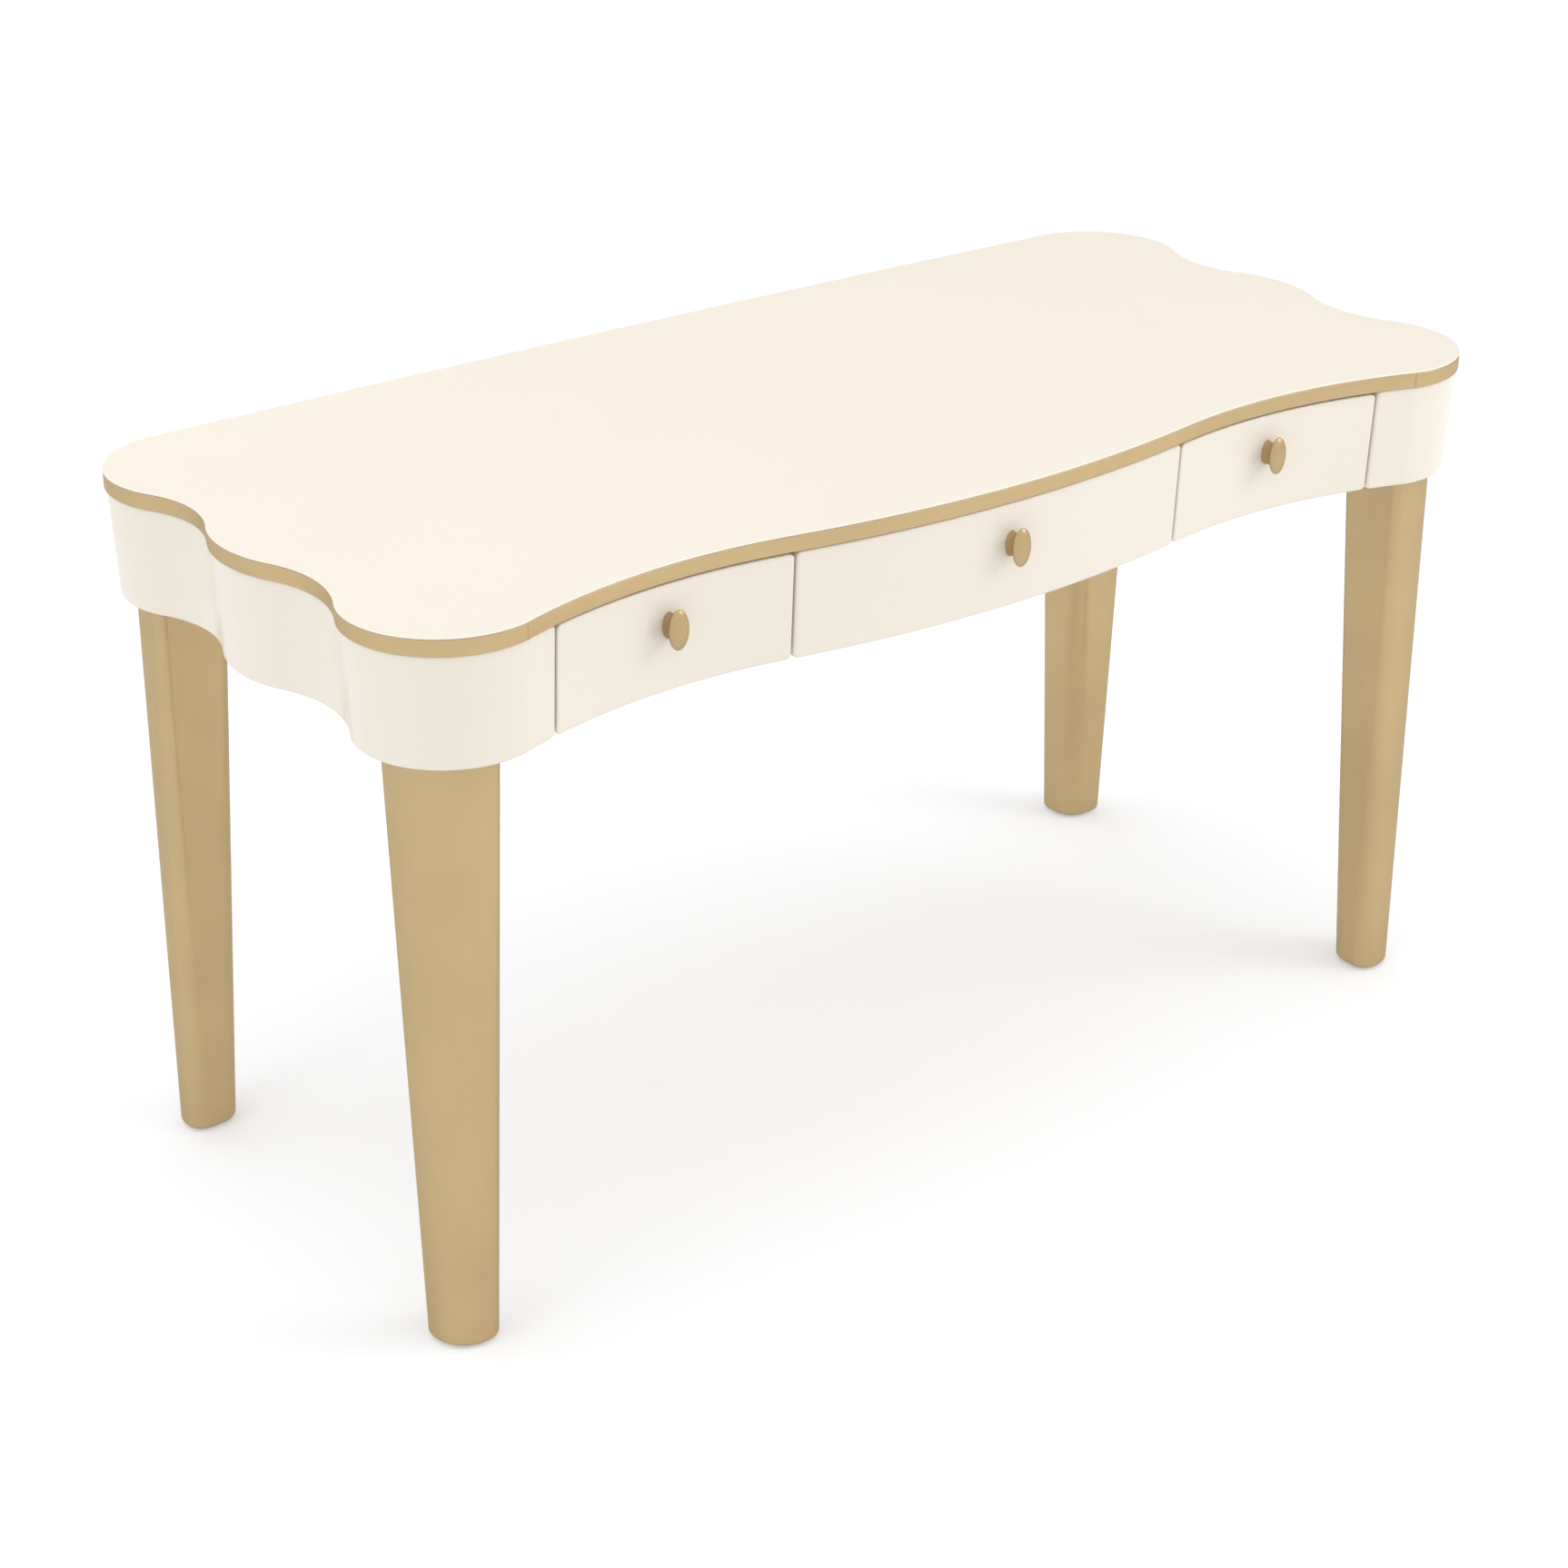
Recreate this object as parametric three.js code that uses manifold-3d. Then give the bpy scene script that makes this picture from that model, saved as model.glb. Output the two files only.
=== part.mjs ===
// A writing and vanity table with a scalloped outline, three curved drawers and four tapered legs.
// Millimetres. +X is the sitter's right, +Z is up and the drawers open towards -Y.
// The origin is on the floor, under the middle of the whole table's box.
import * as THREE from "three";
import { mergeVertices } from "three/addons/utils/BufferGeometryUtils.js";
import Module from "manifold-3d";

const wasm = await Module();
wasm.setup();

// ---------- Driving dimensions ----------
const TABLE_WIDTH = 1400; // over the middle lobes of the ends
const TABLE_DEPTH = 650; // from the front lobes to the middle of the bowed back
const TABLE_HEIGHT = 762;
const FIT_GAP = 0.3; // between pieces that touch
const TOP_THICKNESS = 18;
const TOP_LIP = 1.5; // of the top that covers the edge trim
const TRIM_THICKNESS = 5;

// Plan outline of the top
const CORNER_RADIUS = 99; // of the four corner lobes
const BACK_BOW = 8; // of the back edge
const END_HOLLOW_DEPTH = 27; // of the two hollows in each end
const END_HOLLOW_SHIFT = 4; // of each hollow from halfway, towards its corner lobe
const END_LOBE_RADIUS = 135; // of the lobe between the hollows
const CREASE_FROM_CORNER = 26.5; // from a front lobe's centre to the crease beside it
const FRONT_HOLLOW_RISE = 36; // from the middle bulge's nose back to the hollows
const BULGE_SETBACK = 3.5; // of the bulge's nose behind the front lobes
const HOLLOW_FROM_STILE = 161.5; // from a side drawer's outer end to the hollow's deepest point

// The apron and the drawer fronts lean in towards their lower edge
const APRON_HEIGHT = 114;
const APRON_THICKNESS = 18;
const APRON_TOP_INSET = 2.5; // behind the top's edge
const APRON_BOTTOM_INSET = 8;

// Inner frame
const STILE_WIDTH = 41.5; // from the crease to the side drawer's outer end
const SIDE_DRAWER_WIDTH = 281; // between the middles of its two gaps
const PANEL_THICKNESS = 18; // dividers, inner sides and rails
const RAIL_WIDTH = 60;
const FRAME_SETBACK = 3; // of the inner frame behind the drawer fronts
const DIVIDER_RAISE = 12; // of the dividers' lower edge above the apron's

// Legs
const LEG_TOP_SIDE = 85; // of the section at the apron's lower edge
const LEG_FOOT_SIDE = 61;
const LEG_TOP_CORNER = 58; // radius of the outer corner at the apron's lower edge
const LEG_FOOT_CORNER = 38; // radius of the outer corner at the foot
const LEG_OUTER_TAPER = 4; // that the outer faces lean in over the visible leg
const LEG_CLEARANCE = 1.5; // from the post above the leg's shoulder to the apron around it
const LEG_TOP_INNER_CORNER = 14; // radius of the corner opposite the outer one
const LEG_FOOT_INNER_CORNER = 29;
const LEG_TOP_SIDE_CORNER = 12; // radius of the two corners between them
const LEG_FOOT_SIDE_CORNER = 20;
const FOOT_ROUNDING = 5;
const GLIDE_RADIUS = 13;
const GLIDE_HEIGHT = 2.5;
const BLOCK_HEIGHT = 70;
const BLOCK_DEPTH = 62;
const BLOCK_CHAMFER = 16;

// Drawers
const DRAWER_GAP = 2.6; // between two fronts, or a front and the apron
const SIDE_TOP_GAP = 3;
const MIDDLE_TOP_GAP = 1.6;
const FRONT_THICKNESS = 18;
const BOX_DEPTH = 430; // behind the front's deepest point
const BOX_WALL = 12;
const BOX_TOP_GAP = 4; // below the rails
const BOX_RAISE = 8; // of the box above the front's lower edge
const BOTTOM_THICKNESS = 6;
const BOTTOM_RAISE = 6; // of the bottom above the sides' lower edge
const BOTTOM_STEPS = 12;

// Drawer slides
const SLIDE_SPACE = 12.7; // between a divider and the drawer's side
const SLIDE_SHORTFALL = 30; // of the slides, shorter than the box
const SLIDE_HEIGHT = 45;
const SLIDE_WALL = 1.2;
const BALL_ROOM = 4.8; // between the two channels' flanges
const FLANGE_GAP = 2; // from a channel's flanges to the other one's web

// Knobs
const KNOB_HEIGHT = 41;
const KNOB_WIDTH = 23;
const KNOB_PROJECTION = 20;
const KNOB_LIFT = 12; // of the knob's middle above the apron's
const KNOB_FOOT_RADIUS = 13.5; // upright, before the knob is narrowed
const KNOB_NECK_RADIUS = 12.5;
const KNOB_NECK_LENGTH = 6; // from the foot to where the head flares out
const KNOB_EDGE_THICKNESS = 2.5;
const KNOB_DOME = 3.5;
const SCREW_RADIUS = 2;
const SCREW_HEAD_RADIUS = 4.5;
const SCREW_HEAD_DEPTH = 2.5;
const SCREW_BITE = 9; // of the screw inside the knob
const SCREW_CLEARANCE = 0.4;
const SCREW_SIDES = 16;

// Points along each stretch of a curve
const BULGE_STEPS = 8;
const HOLLOW_STEPS = 12;
const CORNER_STEPS = 16;
const WAVE_STEPS = 7;
const BACK_STEPS = 10;
const LEG_CORNER_STEPS = 10;
const LEG_EDGE_STEPS = 6;
const KNOB_SIDES = 28;
const GLIDE_SIDES = 24;

// ---------- Colours ----------
const IVORY = { color: 0xf6f0e2, roughness: 0.35, metalness: 0 };
const GILT = { color: 0xc8ac7e, roughness: 0.35, metalness: 0.6 };
const BARE_WOOD = { color: 0xd9c29b, roughness: 0.7, metalness: 0 };
const ZINC = { color: 0xb9bcc0, roughness: 0.3, metalness: 0.9 };
const NYLON = { color: 0xdedcd4, roughness: 0.6, metalness: 0 };

// ---------- Values worked out from the dimensions ----------
// The radius of an arc that rises by rise over a run from its extreme point. It is also the sum of
// the radii of two arcs whose extreme points are that run and rise apart and that meet smoothly.
const arcSpan = (run, rise) => (run ** 2 + rise ** 2) / (2 * rise);

const apronTop = TABLE_HEIGHT - TOP_THICKNESS;
const apronBottom = apronTop - APRON_HEIGHT;
const frontY = -TABLE_DEPTH / 2;
const backY = TABLE_DEPTH / 2;
const cornerX = TABLE_WIDTH / 2 - CORNER_RADIUS;
const frontCornerY = frontY + CORNER_RADIUS;
const backCornerY = backY - BACK_BOW - CORNER_RADIUS;
const stileX = cornerX - CREASE_FROM_CORNER - STILE_WIDTH;
const splitX = stileX - SIDE_DRAWER_WIDTH;

// The front edge is a bulge in the middle and a hollow on each side that ends at a crease.
const bulgeY = frontY + BULGE_SETBACK;
const creaseEdgeX = cornerX - CREASE_FROM_CORNER;
const creaseEdgeY = frontCornerY - Math.sqrt(CORNER_RADIUS ** 2 - CREASE_FROM_CORNER ** 2);
const hollowX = stileX - HOLLOW_FROM_STILE;
const hollowY = bulgeY + FRONT_HOLLOW_RISE;
const hollowRadius = arcSpan(creaseEdgeX - hollowX, hollowY - creaseEdgeY);
const hollowCentreY = hollowY - hollowRadius;
const bulgeRadius = arcSpan(hollowX, FRONT_HOLLOW_RISE) - hollowRadius;
const bulgeCentreY = bulgeY + bulgeRadius;
const backRadius = arcSpan(cornerX, BACK_BOW);
const backCentreY = backY - backRadius;

// How far the apron's face stands behind the top's edge at a height.
function apronInset(z) {
  const share = (apronTop - z) / APRON_HEIGHT;
  return APRON_TOP_INSET + (APRON_BOTTOM_INSET - APRON_TOP_INSET) * share;
}

const knobZ = (apronBottom + apronTop) / 2 + KNOB_LIFT;
const knobFootHalfWidth = (KNOB_FOOT_RADIUS * KNOB_WIDTH) / KNOB_HEIGHT;
const boxBottom = apronBottom + BOX_RAISE;
const railTop = apronTop - FIT_GAP;
const railBottom = railTop - PANEL_THICKNESS;
const boxTop = railBottom - BOX_TOP_GAP;
const slideZ = (boxBottom + boxTop) / 2;
const slideLength = BOX_DEPTH - SLIDE_SHORTFALL;
const slideFlange = SLIDE_SPACE - 2 * FIT_GAP - SLIDE_WALL - FLANGE_GAP;
const dividerTop = railBottom - FIT_GAP;
const dividerBottom = apronBottom + DIVIDER_RAISE;
const frameFrontY = hollowY + APRON_BOTTOM_INSET + FRONT_THICKNESS + FRAME_SETBACK;
const frameBackY = backCornerY + CORNER_RADIUS - APRON_BOTTOM_INSET - APRON_THICKNESS - FIT_GAP;
const boxBackY = frameFrontY - FRAME_SETBACK + BOX_DEPTH;
const slideFrontY = frameFrontY + FIT_GAP;
const postCorner = CORNER_RADIUS - APRON_BOTTOM_INSET - APRON_THICKNESS - LEG_CLEARANCE;
const legOuterX = cornerX + postCorner;
const legTop = apronTop - FIT_GAP;

// ---------- Plan outline ----------
const point = (x, y) => new THREE.Vector2(x, y);
const mirrored = (points) => points.map((p) => point(-p.x, p.y)).reverse();

// Evenly spaced values from one number to another, both included.
const spread = (from, to, steps) =>
  Array.from({ length: steps + 1 }, (_, i) => from + ((to - from) * i) / steps);

// Points on an arc, from one angle to another in radians.
function arc(x, y, radius, from, to, steps) {
  return spread(from, to, steps).map((a) => point(x + radius * Math.cos(a), y + radius * Math.sin(a)));
}

// The y of the front edge at x, at a distance inset behind it.
function frontEdgeY(x, inset) {
  const bulgeEnd = (hollowX * (bulgeRadius - inset)) / (bulgeRadius + hollowRadius);
  const reach = Math.abs(x);
  if (reach <= bulgeEnd) return bulgeCentreY - Math.sqrt((bulgeRadius - inset) ** 2 - reach ** 2);
  return hollowCentreY + Math.sqrt((hollowRadius + inset) ** 2 - (reach - hollowX) ** 2);
}

// The y of the back edge at x, at a distance inset in front of it.
const backEdgeY = (x, inset) => backCentreY + Math.sqrt((backRadius - inset) ** 2 - x ** 2);

const frontEdge = (fromX, toX, inset, steps) =>
  spread(fromX, toX, steps).map((x) => point(x, frontEdgeY(x, inset)));

const backEdge = (fromX, toX, inset, steps) =>
  spread(fromX, toX, steps).map((x) => point(x, backEdgeY(x, inset)));

// The angle on a front corner lobe at which the front hollow's arc meets it.
function creaseAngle(inset) {
  const lobe = CORNER_RADIUS - inset;
  const acrossX = hollowX - cornerX;
  const acrossY = hollowCentreY - frontCornerY;
  const distance = Math.hypot(acrossX, acrossY);
  const cosine = (lobe ** 2 + distance ** 2 - (hollowRadius + inset) ** 2) / (2 * lobe * distance);
  return Math.atan2(acrossY, acrossX) + Math.acos(cosine);
}

// The right end: a front corner lobe, a hollow, the middle lobe, a hollow and a back corner lobe.
function rightEnd(inset) {
  const hollowFloorX = cornerX + CORNER_RADIUS - END_HOLLOW_DEPTH;
  const lobe = CORNER_RADIUS - inset;
  const [front, rear] = [-frontCornerY, backCornerY].map((cornerRun) => {
    const fromMiddle = cornerRun / 2 + END_HOLLOW_SHIFT;
    const fromCorner = cornerRun - fromMiddle;
    const cornerSum = arcSpan(fromCorner, END_HOLLOW_DEPTH);
    const middleSum = arcSpan(fromMiddle, END_HOLLOW_DEPTH);
    return {
      y: fromMiddle,
      cornerSide: cornerSum - CORNER_RADIUS,
      middleSide: middleSum - END_LOBE_RADIUS,
      cornerTurn: Math.asin(fromCorner / cornerSum),
      middleTurn: Math.asin(fromMiddle / middleSum),
    };
  });
  const hollowArc = (y, radius, from, to) =>
    arc(hollowFloorX + radius, y, radius + inset, Math.PI + from, Math.PI + to, WAVE_STEPS).slice(1);
  return [
    arc(cornerX, frontCornerY, lobe, creaseAngle(inset), front.cornerTurn, CORNER_STEPS),
    hollowArc(-front.y, front.cornerSide, front.cornerTurn, 0),
    hollowArc(-front.y, front.middleSide, 0, -front.middleTurn),
    arc(hollowFloorX + END_HOLLOW_DEPTH - END_LOBE_RADIUS, 0, END_LOBE_RADIUS - inset,
      -front.middleTurn, rear.middleTurn, 2 * WAVE_STEPS).slice(1),
    hollowArc(rear.y, rear.middleSide, rear.middleTurn, 0),
    hollowArc(rear.y, rear.cornerSide, 0, -rear.cornerTurn),
    arc(cornerX, backCornerY, lobe, -rear.cornerTurn, Math.PI / 2, CORNER_STEPS).slice(1),
  ].flat();
}

// The whole outline, counter-clockwise from above, at a distance inset behind the edge.
function outline(inset) {
  const end = rightEnd(inset);
  const front = frontEdge(-end[0].x, end[0].x, inset, 2 * (BULGE_STEPS + HOLLOW_STEPS));
  const rear = backEdge(cornerX, -cornerX, inset, 2 * BACK_STEPS);
  return [...front.slice(1, -1), ...end, ...rear.slice(1, -1), ...mirrored(end)];
}

// A strip of wall along a path: the path at two insets, joined into one ring.
const strip = (path, outer, inner) => [...path(outer), ...path(inner).reverse()];

// From the side drawer's outer end round the right end to where the back panel starts.
function endPath(inset, frontX, backX) {
  const end = rightEnd(inset);
  return [
    ...frontEdge(frontX, end[0].x, inset, 3).slice(0, -1),
    ...end,
    ...backEdge(cornerX, backX, inset, 2).slice(1),
  ];
}

// ---------- Solids ----------
// A closed solid through rings of the same number of points, from the lowest to the highest.
function loft(levels) {
  const count = levels[0].ring.length;
  const positions = levels.flatMap(({ ring, z }) => ring.flatMap((p) => [p.x, p.y, z]));
  const index = [];
  const lastRow = (levels.length - 1) * count;
  for (const [a, b, c] of THREE.ShapeUtils.triangulateShape(levels[0].ring, [])) {
    index.push(a, c, b);
  }
  for (const [a, b, c] of THREE.ShapeUtils.triangulateShape(levels.at(-1).ring, [])) {
    index.push(lastRow + a, lastRow + b, lastRow + c);
  }
  for (let row = 0; row < lastRow; row += count) {
    for (let i = 0; i < count; i++) {
      const next = (i + 1) % count;
      index.push(row + i, row + next, row + count + next);
      index.push(row + i, row + count + next, row + count + i);
    }
  }
  const geometry = new THREE.BufferGeometry();
  geometry.setAttribute("position", new THREE.Float32BufferAttribute(positions, 3));
  geometry.setIndex(index);
  return geometry;
}

// A wall that follows the apron's lean between two heights.
function leaningWall(path, zLow, zHigh, thickness) {
  return loft([zLow, zHigh].map((z) => {
    const face = apronInset(z);
    return { ring: strip(path, face, face + thickness), z };
  }));
}

// A box given by its low and high corners.
function boxBetween([x0, y0, z0], [x1, y1, z1]) {
  const geometry = new THREE.BoxGeometry(x1 - x0, y1 - y0, z1 - z0);
  return geometry.translate((x0 + x1) / 2, (y0 + y1) / 2, (z0 + z1) / 2);
}

// An outline in plan, given as [x, y] pairs counter-clockwise, raised between two heights.
function plate(corners, zLow, zHigh) {
  const shape = new THREE.Shape(corners.map(([x, y]) => point(x, y)));
  const settings = { depth: zHigh - zLow, bevelEnabled: false };
  return new THREE.ExtrudeGeometry(shape, settings).translate(0, 0, zLow);
}

// A rod along Y, given by its radius and its two ends.
function rodAlongY(radius, x, yLow, yHigh, z, sides) {
  const geometry = new THREE.CylinderGeometry(radius, radius, yHigh - yLow, sides);
  return geometry.translate(x, (yLow + yHigh) / 2, z);
}

function toSolid(geometry) {
  const bare = geometry.clone();
  bare.deleteAttribute("normal");
  bare.deleteAttribute("uv");
  const merged = mergeVertices(bare);
  return new wasm.Manifold(new wasm.Mesh({
    numProp: 3,
    vertProperties: merged.attributes.position.array,
    triVerts: new Uint32Array(merged.index.array),
  }));
}

function toGeometry(solid) {
  const { vertProperties, triVerts } = solid.getMesh();
  const geometry = new THREE.BufferGeometry();
  geometry.setAttribute("position", new THREE.BufferAttribute(vertProperties, 3));
  geometry.setIndex(new THREE.BufferAttribute(triVerts, 1));
  return geometry;
}

const join = (a, b) => toGeometry(toSolid(a).add(toSolid(b)));
const cut = (a, b) => toGeometry(toSolid(a).subtract(toSolid(b)));

// ---------- Group ----------
const table = new THREE.Group();

function addPart(name, geometry, finish) {
  geometry.computeVertexNormals();
  const mesh = new THREE.Mesh(geometry, new THREE.MeshStandardMaterial(finish));
  mesh.name = name;
  table.add(mesh);
  return mesh;
}

// The same solid on the other side of the table, with its faces turned back outwards.
function flipped(geometry) {
  const copy = (geometry.index ? geometry.toNonIndexed() : geometry.clone()).scale(-1, 1, 1);
  const { array } = copy.attributes.position;
  for (let i = 0; i < array.length; i += 9) {
    for (let k = 0; k < 3; k++) {
      [array[i + k], array[i + 3 + k]] = [array[i + 3 + k], array[i + k]];
    }
  }
  return copy;
}

function addPair(stem, geometry, finish) {
  addPart(`right_${stem}`, geometry, finish);
  addPart(`left_${stem}`, flipped(geometry), finish);
}

// ---------- Top and edge trim ----------
function buildTop() {
  const coreInset = TRIM_THICKNESS + FIT_GAP;
  const lipZ = TABLE_HEIGHT - TOP_LIP;
  addPart("top_panel", loft([
    { ring: outline(coreInset), z: apronTop },
    { ring: outline(coreInset), z: lipZ },
    { ring: outline(0), z: lipZ },
    { ring: outline(0), z: TABLE_HEIGHT },
  ]), IVORY);

  const zLow = apronTop;
  const zHigh = lipZ - FIT_GAP;
  const trim = (path) => {
    const ring = strip(path, 0, TRIM_THICKNESS);
    return loft([{ ring, z: zLow }, { ring, z: zHigh }]);
  };
  const jointX = cornerX - FIT_GAP / 2;
  const frontJointX = creaseEdgeX - FIT_GAP;
  addPart("front_edge_trim", trim((inset) =>
    frontEdge(-frontJointX, frontJointX, inset, 2 * (BULGE_STEPS + HOLLOW_STEPS))), GILT);
  addPart("back_edge_trim", trim((inset) =>
    backEdge(jointX, -jointX, inset, 2 * BACK_STEPS)), GILT);
  addPair("edge_trim", trim(rightEnd), GILT);
}

// ---------- Apron ----------
const backJointX = cornerX - STILE_WIDTH;

function buildApron() {
  const frontX = stileX + DRAWER_GAP / 2;
  const zHigh = apronTop - FIT_GAP;
  const path = (inset) => endPath(inset, frontX, backJointX + FIT_GAP / 2);
  addPair("apron", leaningWall(path, apronBottom, zHigh, APRON_THICKNESS), IVORY);
  const backHalf = backJointX - FIT_GAP / 2;
  const backPath = (inset) => backEdge(backHalf, -backHalf, inset, 2 * BACK_STEPS);
  addPart("back_apron", leaningWall(backPath, apronBottom, zHigh, APRON_THICKNESS), IVORY);
}

// ---------- Inner frame: two rails under the top, two dividers and two inner sides ----------
const railHalf = stileX + PANEL_THICKNESS / 2;

function buildFrame() {
  const rail = (yLow, yHigh) =>
    boxBetween([-railHalf, yLow, railBottom], [railHalf, yHigh, railTop]);
  addPart("front_rail", rail(frameFrontY, frameFrontY + RAIL_WIDTH), BARE_WOOD);
  addPart("back_rail", rail(frameBackY - RAIL_WIDTH, frameBackY), BARE_WOOD);
  const upright = (x) => boxBetween(
    [x - PANEL_THICKNESS / 2, frameFrontY, dividerBottom],
    [x + PANEL_THICKNESS / 2, frameBackY, dividerTop],
  );
  addPair("divider", upright(splitX), BARE_WOOD);
  addPair("inner_side", upright(stileX), BARE_WOOD);
}

// ---------- Legs ----------
// A square section with a large outer corner, a smaller inner corner and two side corners. Its
// outer faces are at x = 0 and y = 0 and it lies on their negative sides.
function legSection(side, outer, inner, sideways) {
  const quarter = Math.PI / 2;
  const near = -sideways;
  const far = -side + sideways;
  return [
    ...arc(-outer, -outer, outer, 0, quarter, LEG_CORNER_STEPS),
    ...arc(far, near, sideways, quarter, 2 * quarter, LEG_EDGE_STEPS),
    ...arc(-side + inner, -side + inner, inner, 2 * quarter, 3 * quarter, LEG_EDGE_STEPS),
    ...arc(near, far, sideways, 3 * quarter, 4 * quarter, LEG_EDGE_STEPS),
  ];
}

// The back right leg, with its outer faces at outerX and outerY at the apron's lower edge. Above a
// shoulder under the apron, a straight post stands inside the apron's rounded corner.
function legGeometry(outerX, outerY) {
  const footZ = GLIDE_HEIGHT + FIT_GAP;
  const shoulderZ = apronBottom - FIT_GAP;
  const placed = (ring, offset, z) =>
    ({ ring: ring.map((p) => point(p.x + outerX + offset, p.y + outerY + offset)), z });
  const level = (z, shrink) => {
    const share = (z - footZ) / (shoulderZ - footZ);
    const mix = (foot, top) => foot + (top - foot) * share;
    const side = mix(LEG_FOOT_SIDE, LEG_TOP_SIDE) - 2 * shrink;
    const outer = mix(LEG_FOOT_CORNER, LEG_TOP_CORNER) - shrink;
    const inner = mix(LEG_FOOT_INNER_CORNER, LEG_TOP_INNER_CORNER) - shrink;
    const sideways = mix(LEG_FOOT_SIDE_CORNER, LEG_TOP_SIDE_CORNER) - shrink;
    const section = legSection(side, outer, inner, sideways);
    return placed(section, (share - 1) * LEG_OUTER_TAPER - shrink, z);
  };
  const roundedEdge = spread(0, Math.PI / 2, 3).map((a) =>
    level(footZ + FOOT_ROUNDING * (1 - Math.sin(a)), FOOT_ROUNDING * (1 - Math.cos(a))));
  const post = legSection(LEG_TOP_SIDE, postCorner, LEG_TOP_INNER_CORNER, LEG_TOP_SIDE_CORNER);
  return loft([
    ...roundedEdge.reverse(),
    level(shoulderZ, 0),
    placed(post, 0, shoulderZ),
    placed(post, 0, legTop),
  ]);
}

// The solid mirrored front to back, with its faces turned back outwards.
function turnedToFront(geometry) {
  return flipped(geometry).rotateZ(Math.PI);
}

function buildLegs() {
  const frontOuter = -(frontCornerY - postCorner);
  const backOuter = backCornerY + postCorner;
  const pairs = [
    ["front", turnedToFront(legGeometry(legOuterX, frontOuter))],
    ["back", legGeometry(legOuterX, backOuter)],
  ];
  // A post too wide for the apron's corner is trimmed to the apron's inner wall.
  const apronRoom = leaningWall(
    (inset) => endPath(inset, stileX, splitX),
    apronBottom - FIT_GAP,
    apronTop,
    APRON_THICKNESS + LEG_CLEARANCE / 2,
  );
  for (const [row, geometry] of pairs) addPair(`${row}_leg`, cut(geometry, apronRoom), GILT);

  const footX = legOuterX - LEG_OUTER_TAPER - LEG_FOOT_SIDE / 2;
  const footIn = LEG_OUTER_TAPER + LEG_FOOT_SIDE / 2;
  const rows = [["front", -(frontOuter - footIn)], ["back", backOuter - footIn]];
  for (const [row, y] of rows) {
    const glide = new THREE.CylinderGeometry(GLIDE_RADIUS, GLIDE_RADIUS, GLIDE_HEIGHT, GLIDE_SIDES);
    glide.rotateX(Math.PI / 2).translate(footX, y, GLIDE_HEIGHT / 2);
    addPair(`${row}_glide`, glide, NYLON);
  }

  // A corner block fills the space between each leg and the inner side next to it.
  const blockOuterX = legOuterX - LEG_TOP_SIDE - FIT_GAP;
  const blockInnerX = stileX + PANEL_THICKNESS / 2 + FIT_GAP;
  const block = (yLow, yHigh, chamferAtFront) => {
    const c = Math.min(BLOCK_CHAMFER, (blockOuterX - blockInnerX) / 2);
    const corners = chamferAtFront
      ? [[blockInnerX, yLow + c], [blockInnerX + c, yLow], [blockOuterX, yLow],
        [blockOuterX, yHigh], [blockInnerX, yHigh]]
      : [[blockInnerX, yLow], [blockOuterX, yLow], [blockOuterX, yHigh],
        [blockInnerX + c, yHigh], [blockInnerX, yHigh - c]];
    return plate(corners, legTop - BLOCK_HEIGHT, legTop);
  };
  const frontIn = -(frontOuter - LEG_TOP_SIDE);
  const backIn = backOuter - LEG_TOP_SIDE;
  addPair("front_corner_block", block(frontIn - BLOCK_DEPTH, frontIn, false), BARE_WOOD);
  addPair("back_corner_block", block(backIn, backIn + BLOCK_DEPTH, true), BARE_WOOD);
}

// ---------- Drawers ----------
// A channel along Y: its web stands at x = 0 and its flanges reach towards +X.
function channel(height) {
  const half = height / 2;
  const shape = new THREE.Shape([
    point(0, -half),
    point(slideFlange, -half),
    point(slideFlange, -half + SLIDE_WALL),
    point(SLIDE_WALL, -half + SLIDE_WALL),
    point(SLIDE_WALL, half - SLIDE_WALL),
    point(slideFlange, half - SLIDE_WALL),
    point(slideFlange, half),
    point(0, half),
  ]);
  const geometry = new THREE.ExtrudeGeometry(shape, { depth: slideLength, bevelEnabled: false });
  return geometry.rotateX(Math.PI / 2).translate(0, slideLength, 0);
}

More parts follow.
